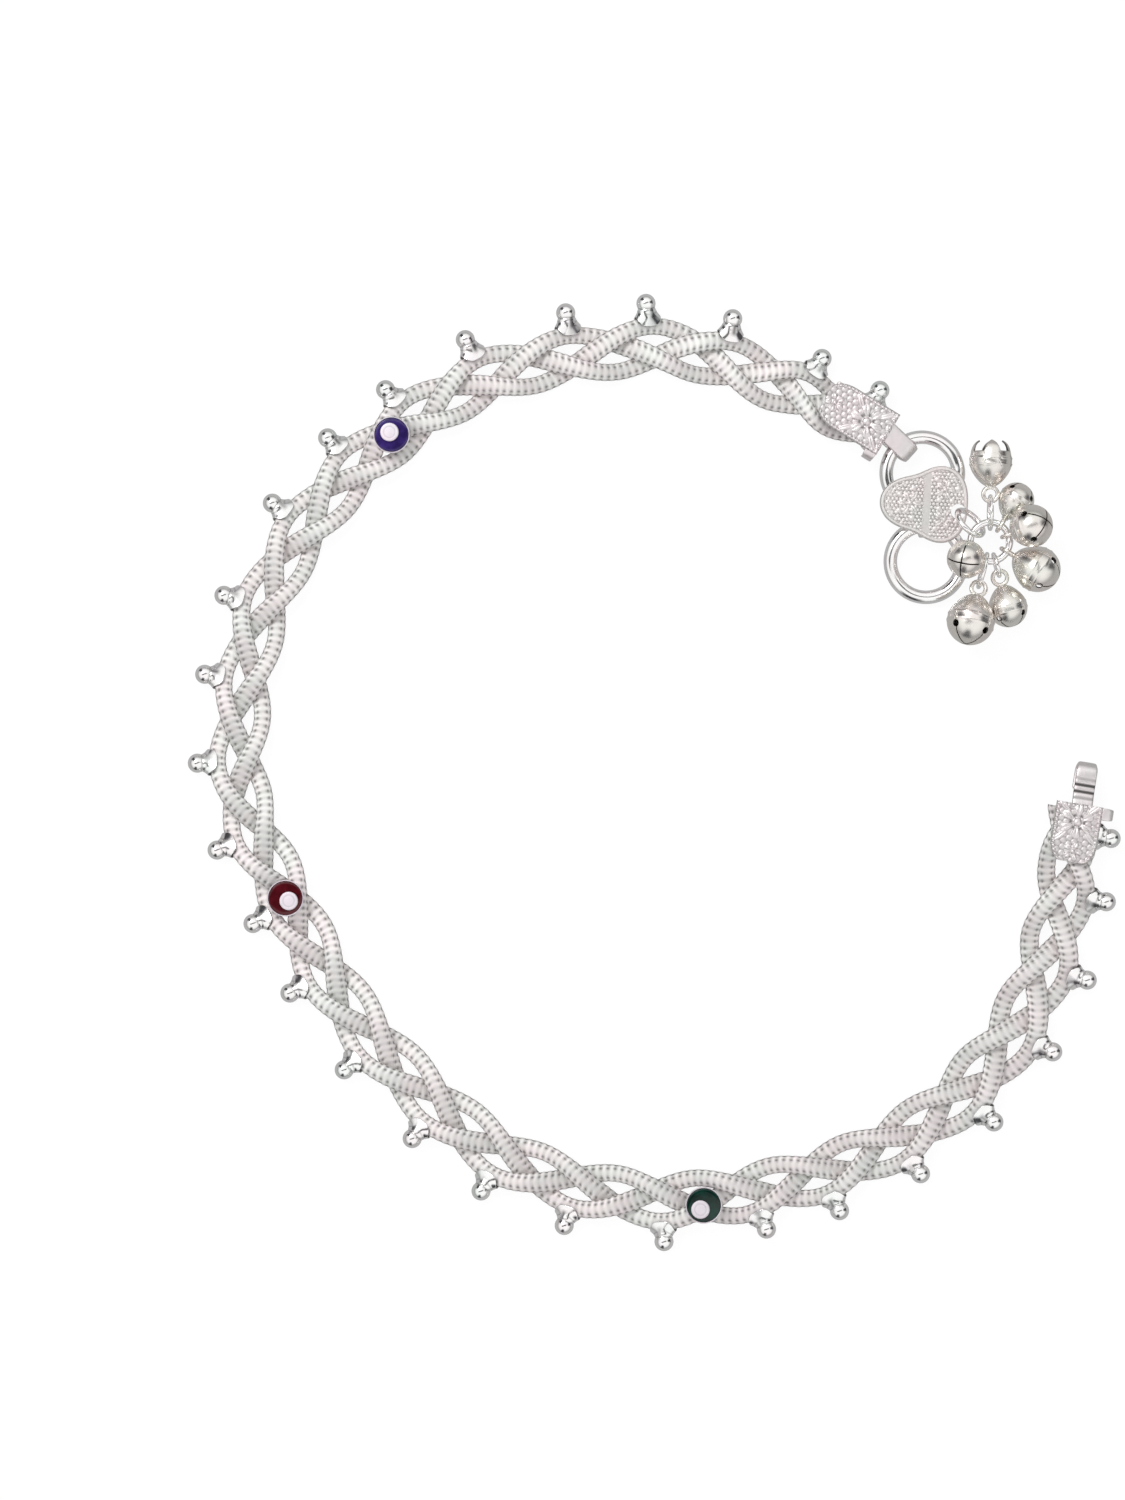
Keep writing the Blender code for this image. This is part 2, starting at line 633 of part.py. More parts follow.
def bunch_middle():
    """Middle of the flat ring that gathers the bells."""
    hole = heart_hole(on_table(HEART_MIDDLE))
    reach = 2 * HEART_LINK_RADIUS - HEART_LINK_WIRE - BUNCH_WIRE - 0.2 + BUNCH_RADIUS
    return hole, hole + reach * flat_direction(BUNCH_TURN)[:2]


def build_bunch():
    """The link on the heart, the flat bunch ring, and the bells with their links."""
    hole, middle = bunch_middle()
    forward = flat_direction(BUNCH_TURN)
    lean = math.radians(HEART_LINK_LEAN)
    aside = np.array([-forward[1], forward[0], 0.0])
    normal = math.cos(lean) * aside + math.sin(lean) * np.array([0, 0, 1.0])
    plate_z = RING_Z + RING_WIRE_RADIUS + GAP + HEART_THICK / 2
    link_middle = np.array([*hole, plate_z]) + forward * HEART_LINK_RADIUS
    wire_ring("link_heart", link_middle, HEART_LINK_RADIUS, HEART_LINK_WIRE, normal, HEART_LINK_STEPS,
              LINK_SIDES)
    wire_ring("ring_bunch", (*middle, BUNCH_Z), BUNCH_RADIUS, BUNCH_WIRE, (0, 0, 1), BUNCH_STEPS, LINK_SIDES)
    for name, turn, rise, radius, link_radius in BELLS:
        out = flat_direction(turn)
        level = math.radians(rise)
        axis = math.cos(level) * out + np.array([0, 0, math.sin(level)])
        across = np.array([-out[1], out[0], 0.0])
        wire = np.array([*middle, BUNCH_Z]) + BUNCH_RADIUS * out
        if link_radius:
            place = wire + axis * (link_radius - LINK_WIRE - BUNCH_WIRE - 0.1)
            wire_ring(f"link_{name}", place, link_radius, LINK_WIRE, across, LINK_STEPS, LINK_SIDES)
            loop = place + axis * (link_radius - 2 * LINK_WIRE - 0.1 + BELL_LOOP_RADIUS)
            normal = np.cross(axis, across)
        else:
            loop = wire + axis * 0.1
            normal = across
        build_bell(name, radius, loop, axis, normal)


def bell_profile(radius):
    """Outer then inner outline of a bell along its axis, as distance and radius, neck to neck."""
    middle = BELL_NECK_LENGTH + radius
    inner = radius - BELL_WALL
    outer = [(BELL_LOOP_RADIUS, BELL_NECK_RADIUS)]
    outer += [(middle + radius * math.cos(a), radius * math.sin(a)) for a in np.radians(BELL_OUTER_ROWS)]
    inside = [(middle + inner * math.cos(a), inner * math.sin(a)) for a in np.radians(BELL_INNER_ROWS)]
    return outer, inside, middle - inner


def build_bell(name, radius, loop, axis, normal):
    """Hollow round bell with an open mouth, two slits and a wire loop on its neck."""
    outer, inside, inner_pole = bell_profile(radius)
    turns = 2 * math.pi * np.arange(BELL_SIDES) / BELL_SIDES
    rings = [[(x, r * math.cos(a), r * math.sin(a)) for a in turns] for x, r in outer + inside]
    bell = add_object(name, *rings_solid(rings, end_pole=(inner_pole, 0, 0)), SILVER, 50)
    mouth_x = BELL_NECK_LENGTH + radius * (1 + BELL_SLIT_SPAN)
    reach = radius * BELL_SLIT_SPAN
    slit = box("slit", (mouth_x - radius * 0.35, -reach, -BELL_SLIT_WIDTH / 2),
               (mouth_x + radius, reach, BELL_SLIT_WIDTH / 2))
    combine(bell, slit, "DIFFERENCE", 50)
    eye = wire_ring("eye", (0, 0, 0), BELL_LOOP_RADIUS, LINK_WIRE, (0, 0, 1), BELL_LOOP_STEPS, 6, None)
    combine(bell, eye, "UNION", 50)
    bell.matrix_world = frame_matrix(loop, axis, np.cross(normal, axis))


def build_studs(band):
    """Silver cup with an off-centre pin head, and the enamel disc in it."""
    for name, s, outward, (dx, dy), colour in STUDS:
        _, out = band.directions(s)
        place = band.point(s) + out[:2] * outward
        turns = 2 * math.pi * np.arange(STUD_SIDES) / STUD_SIDES

        def disc(label, radius, low, high, x=0.0, y=0.0, finish=None):
            rings = [[(x + radius * math.cos(a), y + radius * math.sin(a), z) for a in turns]
                     for z in (low, high)]
            return add_object(label, *rings_solid(rings), finish)

        well = STUD_RADIUS - STUD_RIM
        cup = disc(f"stud_{name}", STUD_RADIUS, 0, STUD_HEIGHT, finish=SILVER)
        combine(cup, disc("well", well, STUD_FLOOR, 3), "DIFFERENCE")
        combine(cup, disc("pin", PIN_RADIUS, STUD_FLOOR / 2, ENAMEL_TOP + 0.2, dx, dy), "UNION")
        head_low = ENAMEL_TOP + ENAMEL_GAP
        combine(cup, disc("head", PIN_HEAD_RADIUS, head_low, head_low + PIN_HEAD_THICK, dx, dy), "UNION")
        enamel = disc(f"enamel_{name}", well - ENAMEL_GAP, STUD_FLOOR + ENAMEL_GAP, ENAMEL_TOP,
                      finish=("enamel", colour, 0.0, ENAMEL_ROUGHNESS))
        combine(enamel, disc("bore", PIN_RADIUS + ENAMEL_GAP, 0, 3, dx, dy), "DIFFERENCE")
        for piece in (cup, enamel):
            piece.location = Vector((*place, STUD_BASE_Z)) * MM


def main():
    clear_scene()
    band = Band()
    for number in range(STRANDS):
        build_strand(band, number)
    build_drops(band)
    build_hook_cap(band)
    build_ring_cap(band)
    build_rings()
    build_heart()
    build_bunch()
    build_studs(band)


main()
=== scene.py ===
"""Looks of the plaited silver anklet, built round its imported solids.

Every piece is a surface worked out as arrays: a grid of points whose columns run round it. Lengths are in
millimetres and become metres in Skin.piece. The band's route and the clasp's places repeat the solids' own.
"""

import math

import bpy
import numpy as np
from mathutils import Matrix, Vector


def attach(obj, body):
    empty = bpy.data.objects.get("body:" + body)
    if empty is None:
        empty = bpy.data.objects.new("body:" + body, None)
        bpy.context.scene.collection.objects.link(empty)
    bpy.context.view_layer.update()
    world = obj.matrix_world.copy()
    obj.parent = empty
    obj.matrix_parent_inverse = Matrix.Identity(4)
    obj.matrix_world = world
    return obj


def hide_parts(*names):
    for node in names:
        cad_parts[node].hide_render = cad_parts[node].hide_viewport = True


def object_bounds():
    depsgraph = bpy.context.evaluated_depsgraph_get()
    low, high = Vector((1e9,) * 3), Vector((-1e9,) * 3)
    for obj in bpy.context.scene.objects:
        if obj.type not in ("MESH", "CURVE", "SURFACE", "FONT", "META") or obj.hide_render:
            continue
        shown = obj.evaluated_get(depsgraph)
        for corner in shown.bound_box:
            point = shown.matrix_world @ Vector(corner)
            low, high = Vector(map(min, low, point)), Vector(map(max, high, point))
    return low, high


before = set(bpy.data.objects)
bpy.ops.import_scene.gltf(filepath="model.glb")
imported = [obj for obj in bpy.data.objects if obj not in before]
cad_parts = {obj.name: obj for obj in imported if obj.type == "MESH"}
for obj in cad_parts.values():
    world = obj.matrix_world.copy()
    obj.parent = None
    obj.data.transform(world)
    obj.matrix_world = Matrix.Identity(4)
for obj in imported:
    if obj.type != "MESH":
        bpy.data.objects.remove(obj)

CAD_LOW, CAD_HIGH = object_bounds()
MM = 0.001
PHOTO_WIDTH_PX = 1125
PHOTO_HEIGHT_PX = 1500
MM_PER_PX = 0.118
ORIGIN_PX = (653.14, 773.92)

# Middle line of the band on the table, from the hook's cap to the ring's cap
CENTRE = (-0.338, -0.286)
BAND_ROUTE = (
    (50.8, 1.1), (50.1, -3.8), (49.2, -8.7), (48.2, -13.8), (45.5, -24.1), (40.2, -33.6),
    (32.4, -41.0), (22.9, -46.2), (12.7, -49.3), (2.2, -50.6), (-8.3, -49.2), (-18.3, -45.2),
    (-26.7, -38.6), (-34.0, -30.9), (-39.9, -22.1), (-44.7, -12.7), (-48.8, -2.8), (-48.8, 7.9),
    (-46.7, 18.3), (-42.0, 27.8), (-35.3, 35.9), (-27.3, 42.4), (-18.0, 47.1), (-7.6, 49.3),
    (2.9, 49.8), (12.8, 46.5), (22.1, 42.8), (27.4, 39.8),
)
ROUTE_SAMPLES = 6000

# The plait and its rope chains
STRANDS = 3
BOW = 2.45
BOW_POINT = 0.03
LIFT = 0.9
STRAND_HALF_WIDTH = 1.38
STRAND_BOW_NARROWING = 0.26
STRAND_HALF_THICK = 0.45
BAND_MIDDLE_Z = LIFT + STRAND_HALF_THICK + 0.05
START_SWELL = 0.1
START_SWELL_FROM = 52.0
START_SWELL_TO = 36.0
END_CALM = 0.12
END_CALM_REACH = 9.0
END_SHIFT = 0.6
END_SHIFT_FROM = 13.5
END_SHIFT_TO = 8.0
END_RISE = 0.4
END_RISE_FROM = 13.0
END_RISE_TO = 8.0
HOOK_CAP_AT = 5.0
STRAND_END_GAP = 0.65
LINK_PITCH = 0.84
LINK_SAMPLES = 8
LINK_RELIEF = 0.15
LINK_SLANT = 0.25
STRAND_SIDES = 32
SECTION_WIDE_POWER = 0.8
SECTION_HIGH_POWER = 0.6
SLOPE_REACH = 0.3

# Depth of a dent between two links, over its share of the chain's half width; it shapes the chain and is
# painted as shade
DENT_EVERYWHERE = 0.15
DENT_ROW_AT = 0.55
DENT_ROW_SPREAD = 0.16
DENT_ROW = 0.75
DENT_EDGE_FROM = 0.8
DENT_EDGE_TO = 0.97
DENT_EDGE = 0.85
SPINE_SPREAD = 0.1
SPINE_GROOVE = 0.12

# Some outer bows of the plait: number of the bow, and its distance along the band's middle line
BOW_MARKS = (
    (0, 8.1), (2, 25.2), (4, 44.1), (8, 81.6), (10, 101.1), (13, 131.0), (16, 158.6), (20, 197.0),
    (23, 225.7), (26, 254.6), (27, 262.6),
)
LAST_BOW = 27

# The ball of each drop: distance along the band's middle line
BALL_PLACES = (
    8.3, 15.6, 24.5, 32.7, 42.2, 51.7, 61.3, 69.6, 80.7, 91.5, 100.9, 110.1, 120.9, 131.2,
    140.1, 149.5, 158.2, 167.9, 176.5, 187.6, 196.8, 204.9, 214.9, 226.0, 234.8, 243.3, 254.9, 261.9,
)
BALL_RADIUS = 1.13
BALL_OUT = 1.35
FAR_BALL_OUT = 1.7
FAR_BALLS = (22, 23, 24, 25)
NECK_AT = 112.0
LEAF_HALF_WIDTH = 1.55
LEAF_HALF_HEIGHT = 0.92
LEAF_TIP = -1.05
NOTCH_AT = 0.18
LEAF_THICK = 0.16
# Side offset and spread of the painted shade streak down a drop's neck
STREAK_SHADE_ASIDE = 0.15
STREAK_SHADE_SPREAD = 0.24

# Painted shade lines round the neck of a drop: share of the way down, spread and depth
NECK_LINES = ((0.1, 0.05, 0.55), (0.42, 0.06, 0.4))

# Stamped caps, straps and rings
CAP_HALF_WIDTH = 2.75
CAP_SHIFT = 0.25
CAP_UNDER_Z = 3.3
CAP_THICK = 0.45
CAP_RELIEF = 0.3
CAP_WALL = 0.35
HOOK_CAP_LENGTH = 6.9
RING_CAP_LENGTH = 8.6
CAP_NOSE_LENGTH = 2.6
CAP_NOSE_HALF_WIDTH = 1.3
CAP_FLOOR_HALF_WIDTH = 2.5
FLANGE_LENGTH = 1.45
FLANGE_OUT = 3.9
STRAP_WIDTH = 2.45
HOOK_THICK = 0.5
HOOK_LENGTH = 5.0
HOOK_TOP_Z = 2.95
HOOK_LOW_Z = 0.75
HOOK_LEG_START = 1.7
LOOP_THICK = 0.4
LOOP_TIP = 3.8
LOOP_LOW_Z = 0.3
LOOP_TURN = -11.0
RING_OUTER_RADIUS = 5.04
RING_WIRE_RADIUS = 0.8
RING_Z = 1.55
UPPER_RING = (31.4, 35.2)
LOWER_RING = (31.9, 24.8)
LOWER_RING_TILT = 4.0
STRAP_EDGE_POWER = 0.35
STRAP_FACE_POWER = 0.5
FOLD_REACH = 0.8
FOLD_NARROWING = 0.13

# Grooves across the hook: share of the strap's length, and depth, which also sets their painted shade
HOOK_GROOVES = ((0.134, 0.45), (0.216, 1.0), (0.3, 1.0), (0.375, 0.35))
GROOVE_HALF_LENGTH = 0.2
GROOVE_THINNING = 0.3

# Stamping of a cap: flowers as radius, petals and turn, then leaves, beads and seeds; last the place and
# spread of the painted shade pits between the large flower's petals
CAP_FLOWER = (2.0, 6)
NOSE_FLOWER = (1.15, 5, 0.3)
NOSE_FLOWER_AT = 1.25
CAP_LEAF_AT = 1.75
CAP_LEAF_HALF_LENGTH = 1.0
CAP_LEAF_HALF_WIDTH = 0.42
CAP_BEAD_INSET = 0.28
CAP_BEAD_PITCH = 0.5
CAP_BEAD_RADIUS = 0.23
CAP_SEED_PITCH = 0.75
PIT_AT = 0.8
PIT_SPREAD = 0.22

# Heart plate and its bail
HEART_MIDDLE = (32.2, 31.5)
HEART_TURN = -3.0
HEART_OUTLINE = (4.5, 5.0, 4.25, 4.3, 5.9)
HEART_THICK = 0.5
HEART_RELIEF = 0.22
HEART_FLOWERS = ((-2.35, 0.0, 1.35, 6), (1.75, 1.75, 1.15, 5), (1.75, -1.75, 1.15, 5))
HEART_BUDS = ((-2.0, 1.75), (-3.6, 0.95), (2.6, 0.45), (0.75, 2.9), (3.25, 1.9), (1.1, 0.5))
HEART_BUD_RADIUS = 0.36
HEART_SEED_PITCH = 0.46
HEART_BAND_AT = -0.35
HEART_BAND_HALF_WIDTH = 0.42
HEART_HOLE_AT = (3.5, -12.0)
HEART_HOLE_RADIUS = 0.9
PLATE_GAP = 0.3
HEART_UNDER_Z = RING_Z + RING_WIRE_RADIUS + PLATE_GAP
BAIL_HALF_SPAN = 2.2
BAIL_THICK = 0.34
BAIL_WIDTH = 1.6
BAIL_LOW_Z = 0.25
BAIL_CORNER = 0.6

# Bunch of bells: name, direction round the ring, rise, body radius, link radius or 0, slit, petals' flare
BUNCH_RADIUS = 2.3
BUNCH_WIRE = 0.4
BUNCH_Z = 2.7
BUNCH_TURN = -43.5
HEART_LINK_RADIUS = 1.9
HEART_LINK_WIRE = 0.35
HEART_LINK_LEAN = 30.0
LINK_WIRE = 0.25
BELLS = (
    ("bell_1", 89.5, 0.0, 2.5, 1.9, 1.5, 0.12),
    ("bell_2", 57.5, -6.0, 2.1, 0.0, 0.15, 0.0),
    ("bell_3", 21.0, 48.0, 2.5, 0.0, 0.15, 0.0),
    ("bell_4", -30.0, 2.5, 2.7, 0.0, 0.15, 0.0),
    ("bell_5", -74.7, -2.5, 2.3, 1.3, 0.15, 0.0),
    ("bell_6", -104.5, 14.0, 2.8, 2.0, 0.15, 0.0),
    ("bell_7", 215.0, 66.0, 2.2, 0.0, 0.15, 0.03),
)
BELL_LOOP_RADIUS = 0.85
BELL_NECK_LENGTH = 1.35
BELL_WALL = 0.35
BELL_SLIT_END = 62.0
BELL_HOLE_SHARE = 0.14
BELL_PETALS = 4

# Enamelled studs: colour, distance along the band, distance outward, pin head's offset
STUDS = (
    ("green", 76.3, 0.55, (-0.39, -0.48)),
    ("red", 141.1, 0.0, (0.40, -0.32)),
    ("violet", 202.4, 0.0, (-0.24, 0.30)),
)
STUD_BASE_Z = 2.85
PIN_HEAD_LOW = 0.91

# Turned profiles of a stud, as radius and height
BEZEL = (
    (0.02, 0.0), (1.75, 0.0), (2.05, 0.06), (2.13, 0.2), (2.08, 0.5), (2.09, 0.75), (2.15, 0.86),
    (2.13, 0.94), (2.07, 0.95), (2.02, 0.9), (2.0, 0.8), (2.0, 0.35), (1.9, 0.3), (0.02, 0.3),
)
ENAMEL_FILL = (
    (0.02, 0.34), (1.7, 0.34), (1.92, 0.37), (1.98, 0.5), (1.98, 0.8), (1.94, 0.86), (1.7, 0.885),
    (1.2, 0.895), (0.6, 0.9), (0.02, 0.9),
)
PIN_HEAD = (
    (0.02, 0.0), (0.9, 0.0), (1.05, 0.03), (1.1, 0.1), (1.09, 0.2), (1.05, 0.25), (0.98, 0.27),
    (0.76, 0.275), (0.7, 0.265), (0.64, 0.265), (0.58, 0.275), (0.4, 0.28), (0.02, 0.285),
)
PIN_GROOVE_AT = 0.67

# Silvers: clean colour, painted shade colour for recesses and its share, roughness, scales of clouds and
# scratches, grain
SILVERS = {
    "rope chain": ((0.9, 0.885, 0.88), (0.13, 0.125, 0.12), 0.85, 0.6, 900.0, 5000.0, 0.3),
    "polished": ((0.96, 0.96, 0.96), (0.06, 0.06, 0.06), 0.85, 0.07, 500.0, 3500.0, 0.08),
    "stamped": ((0.83, 0.79, 0.795), (0.03, 0.028, 0.028), 0.9, 0.35, 1400.0, 4500.0, 0.35),
    "pressed heart": ((0.8, 0.775, 0.765), (0.38, 0.37, 0.36), 0.7, 0.45, 1600.0, 4500.0, 0.4),
    "satin stud": ((0.85, 0.8, 0.86), (0.3, 0.28, 0.3), 0.8, 0.5, 900.0, 4500.0, 0.3),
    "bell": ((0.88, 0.85, 0.81), (0.2, 0.18, 0.16), 0.85, 0.2, 420.0, 3000.0, 0.08),
}
WARM_TINT = (1.03, 0.985, 0.99, 1)
COOL_TINT = (0.98, 1.005, 0.985, 1)

# Enamels: deep and bright tone of the cloudy mix
ENAMELS = {
    "green": ((0.0, 0.012, 0.008), (0.0, 0.035, 0.024)),
    "red": ((0.045, 0.0015, 0.004), (0.1, 0.004, 0.01)),
    "violet": ((0.022, 0.011, 0.09), (0.055, 0.028, 0.2)),
}

# Studio sky: height of a direction, and its brightness in reflections
SKY = ((0.0, 0.4), (0.12, 0.3), (0.3, 0.6), (0.5, 0.9), (0.7, 1.0), (1.0, 1.0))
SOFT_BOXES = 3.0
SOFT_BOX_TURN = 0.9
GAP_WAVE = (0.5, 0.9)
GAP_HEIGHT = (0.8, 0.6)
BETWEEN_BOXES = (0.05, 0.05, 0.055, 1)
FLOOR_REFLECTED = 0.45
FLOOR_GLOW = 0.92

# Dark arm that holds the lights overhead: direction, half length, half width and soft edges in the sky
ARM_TURN = 18.0
ARM_REACH = 0.5
ARM_HALF_WIDTH = 0.1
ARM_ASIDE = 0.03
ARM_TONE = (0.06, 0.06, 0.06, 1)
ARM_SIDE_BLUR = 0.03
ARM_TIP_BLUR = 0.05

# Soft box over the table: place and size in metres, power in watts
SOFT_BOX_PLACE = (-0.25, 0.3, 0.55)
SOFT_BOX_SIZE = (0.3, 0.2)
SOFT_BOX_POWER = 1.2


def add_object(name, data):
    made = bpy.data.objects.new(name, data)
    bpy.context.collection.objects.link(made)
    return made


class Skin:
    """Closed surfaces in one mesh; each point also says how deep it lies in a recess, which is painted as
    shade.
    """

    def __init__(self):
        self.points = []
        self.recesses = []
        self.faces = []
        self.count = 0

    def add(self, grid, recess=0.0, ring=False):
        """Adds points[row, column]: columns run round, and rows join into a ring or close on two poles."""
        grid = np.asarray(grid, float)
        rows, columns = grid.shape[:2]
        depth = np.broadcast_to(np.asarray(recess, float), (rows, columns)).reshape(-1)
        index = np.arange(rows * columns).reshape(rows, columns)
        if ring:
            index = np.vstack([index, index[:1]])
        beside = np.roll(index, -1, axis=1)
        faces = np.stack([index[:-1], beside[:-1], beside[1:], index[1:]], -1).reshape(-1, 4)
        points = grid.reshape(-1, 3)
        if not ring:
            poles = np.stack([grid[0].mean(0), grid[-1].mean(0)])
            first = np.full(columns, rows * columns)
            start = np.stack([first, beside[0], index[0], index[0]], -1)
            end = np.stack([first + 1, index[-1], beside[-1], beside[-1]], -1)
            faces = np.vstack([faces, start, end])
            points = np.vstack([points, poles])
            depth = np.r_[depth, depth[0], depth[-1]]
        a, b, c, d = (points[faces[:, k]] for k in range(4))
        volume = np.einsum("ij,ij", a, np.cross(b, c)) + np.einsum("ij,ij", a, np.cross(c, d))
        if volume < 0:
            faces = faces[:, ::-1]
        self.points.append(points)
        self.recesses.append(depth)
        self.faces.append(faces + self.count)
        self.count += len(points)
        return self

    def place(self, origin, x_axis, y_axis):
        """Turns and moves all that was added: x along x_axis, y near y_axis, origin to origin."""
        x = np.asarray(x_axis, float) / np.linalg.norm(x_axis)
        z = np.cross(x, y_axis)
        z /= np.linalg.norm(z)
        turn = np.stack([x, np.cross(z, x), z])
        self.points = [p @ turn + np.asarray(origin, float) for p in self.points]
        return self

    def piece(self, name, material, slot, nodes=()):
        """Makes the mesh object, which rides on the anklet and stands for the named solids."""
        points = np.vstack(self.points) * MM
        faces = np.vstack(self.faces)
        three = (faces[:, 2] == faces[:, 3]) | (faces[:, 0] == faces[:, 1])
        quads = faces[~three]
        corners = faces[three]
        drop_first = corners[:, 0] == corners[:, 1]
        triangles = np.where(drop_first[:, None], corners[:, 1:], corners[:, :3])
        loops = np.concatenate([quads.reshape(-1), triangles.reshape(-1)])
        sizes = np.r_[np.full(len(quads), 4), np.full(len(triangles), 3)]
        mesh = bpy.data.meshes.new(name)
        mesh.vertices.add(len(points))
        mesh.vertices.foreach_set("co", points.astype(np.float32).reshape(-1))
        mesh.loops.add(len(loops))
        mesh.loops.foreach_set("vertex_index", loops.astype(np.int32))
        mesh.polygons.add(len(sizes))
        mesh.polygons.foreach_set("loop_start", np.r_[0, np.cumsum(sizes)[:-1]].astype(np.int32))
        mesh.update(calc_edges=True)
        mesh.validate()
        mesh.shade_smooth()
        attribute = mesh.attributes.new("recess", "FLOAT", "POINT")
        attribute.data.foreach_set("value", np.concatenate(self.recesses).astype(np.float32))
        mesh.materials.append(material)
        obj = add_object(name, mesh)
        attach(obj, "root")
        if nodes:
            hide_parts(*nodes)
        return obj


def turns(count, offset=0.0):
    return 2 * math.pi * (np.arange(count) + offset) / count


def flat_direction(degrees):
    return np.array([math.cos(math.radians(degrees)), math.sin(math.radians(degrees)), 0.0])


def on_table(place):
    return np.array(place) - np.array(CENTRE)


def smooth_step(x, low, high):
    share = np.clip((x - low) / (high - low), 0, 1)
    return share * share * (3 - 2 * share)


def distances(points):
    """Distance of each point along their line, from the first."""
    return np.r_[0, np.cumsum(np.linalg.norm(np.diff(points, axis=0), axis=1))]


def bump(distance, spread):
    """Bell curve of a distance, 1 at its top."""
    return np.exp(-(distance / spread) ** 2)


def signed_power(values, power):
    return np.sign(values) * np.abs(values) ** power


def natural_spline(knots, values, at):
    """Natural cubic spline: second slopes from one linear solve, then cubic pieces between the knots."""
    knots = np.asarray(knots, float)
    values = np.asarray(values, float)
    values = values[:, None] if values.ndim == 1 else values
    count = len(knots)
    step = np.diff(knots)
    system = np.eye(count)
    right = np.zeros_like(values)
    slope = np.diff(values, axis=0) / step[:, None]
    for i in range(1, count - 1):
        system[i, i - 1:i + 2] = step[i - 1], 2 * (step[i - 1] + step[i]), step[i]
        right[i] = 6 * (slope[i] - slope[i - 1])
    bend = np.linalg.solve(system, right)
    i = np.clip(np.searchsorted(knots, at, side="right") - 1, 0, count - 2)
    b = ((at - knots[i]) / step[i])[:, None]
    a = 1 - b
    square = (step[i] ** 2 / 6)[:, None]
    return a * values[i] + b * values[i + 1] + ((a**3 - a) * bend[i] + (b**3 - b) * bend[i + 1]) * square


class Band:
    """Middle line of the band, and where the plait's strands run along it."""

    def __init__(self):
        route = np.array(BAND_ROUTE) - np.array(CENTRE)
        knots = distances(route)
        self.line = natural_spline(knots, route, np.linspace(0, knots[-1], ROUTE_SAMPLES))
        self.length_at = distances(self.line)
        self.length = float(self.length_at[-1])
        bows, places = zip(*BOW_MARKS)
        numbers = np.linspace(-1, LAST_BOW + 1, 1200)
        self.bow_places = natural_spline(bows, places, np.clip(numbers, 0, LAST_BOW))[:, 0]
        first = (places[1] - places[0]) / (bows[1] - bows[0])
        self.bow_places += first * np.minimum(numbers, 0) + first * np.maximum(numbers - LAST_BOW, 0)
        self.bow_numbers = numbers

    def point(self, s):
        return np.stack([np.interp(s, self.length_at, self.line[:, k]) for k in (0, 1)], -1)

    def outward(self, s):
        """Unit directions along the band and outwards, on the table."""
        along = self.point(s + 0.2) - self.point(s - 0.2)
        along /= np.linalg.norm(along, axis=-1, keepdims=True)
        return along, np.stack([-along[..., 1], along[..., 0]], -1)

    def strand(self, s, number):
        """Sideways place, height and half width of a strand.

        Sideways it swings as a sine with a third overtone, once in three bows, and it rises twice as often.
        The plait is a little wider along its first part. Near both caps it narrows, shifts towards the hollow
        of the anklet and climbs onto the caps' floors.
        """
        bow = np.interp(s, self.bow_places, self.bow_numbers)
        phase = 2 * math.pi * (bow - number) / STRANDS + math.pi / 2
        near = np.minimum(s - HOOK_CAP_AT, self.length - s)
        spread = 1 - END_CALM * np.exp(-(near / END_CALM_REACH) ** 2)
        spread = spread * (1 + START_SWELL * (1 - smooth_step(s, START_SWELL_TO, START_SWELL_FROM)))
        shift = END_SHIFT * (1 - smooth_step(np.minimum(s, self.length - s), END_SHIFT_TO, END_SHIFT_FROM))
        side = BOW * (np.sin(phase) - BOW_POINT * np.sin(3 * phase)) * spread - shift
        rise = END_RISE * (1 - smooth_step(near, END_RISE_TO, END_RISE_FROM))
        height = BAND_MIDDLE_Z + LIFT * np.sin(2 * phase) + rise
        half_width = STRAND_HALF_WIDTH * (1 - STRAND_BOW_NARROWING * np.sin(phase) ** 2) * spread
        return side, height, half_width

    def edge_slope(self, s, number):
        """How fast a strand's outer edge moves outwards, and its middle upwards, along the band."""
        before, after = self.strand(s - SLOPE_REACH, number), self.strand(s + SLOPE_REACH, number)
        outwards = (after[0] + after[2] - before[0] - before[2]) / (2 * SLOPE_REACH)
        return float(outwards), float((after[1] - before[1]) / (2 * SLOPE_REACH))


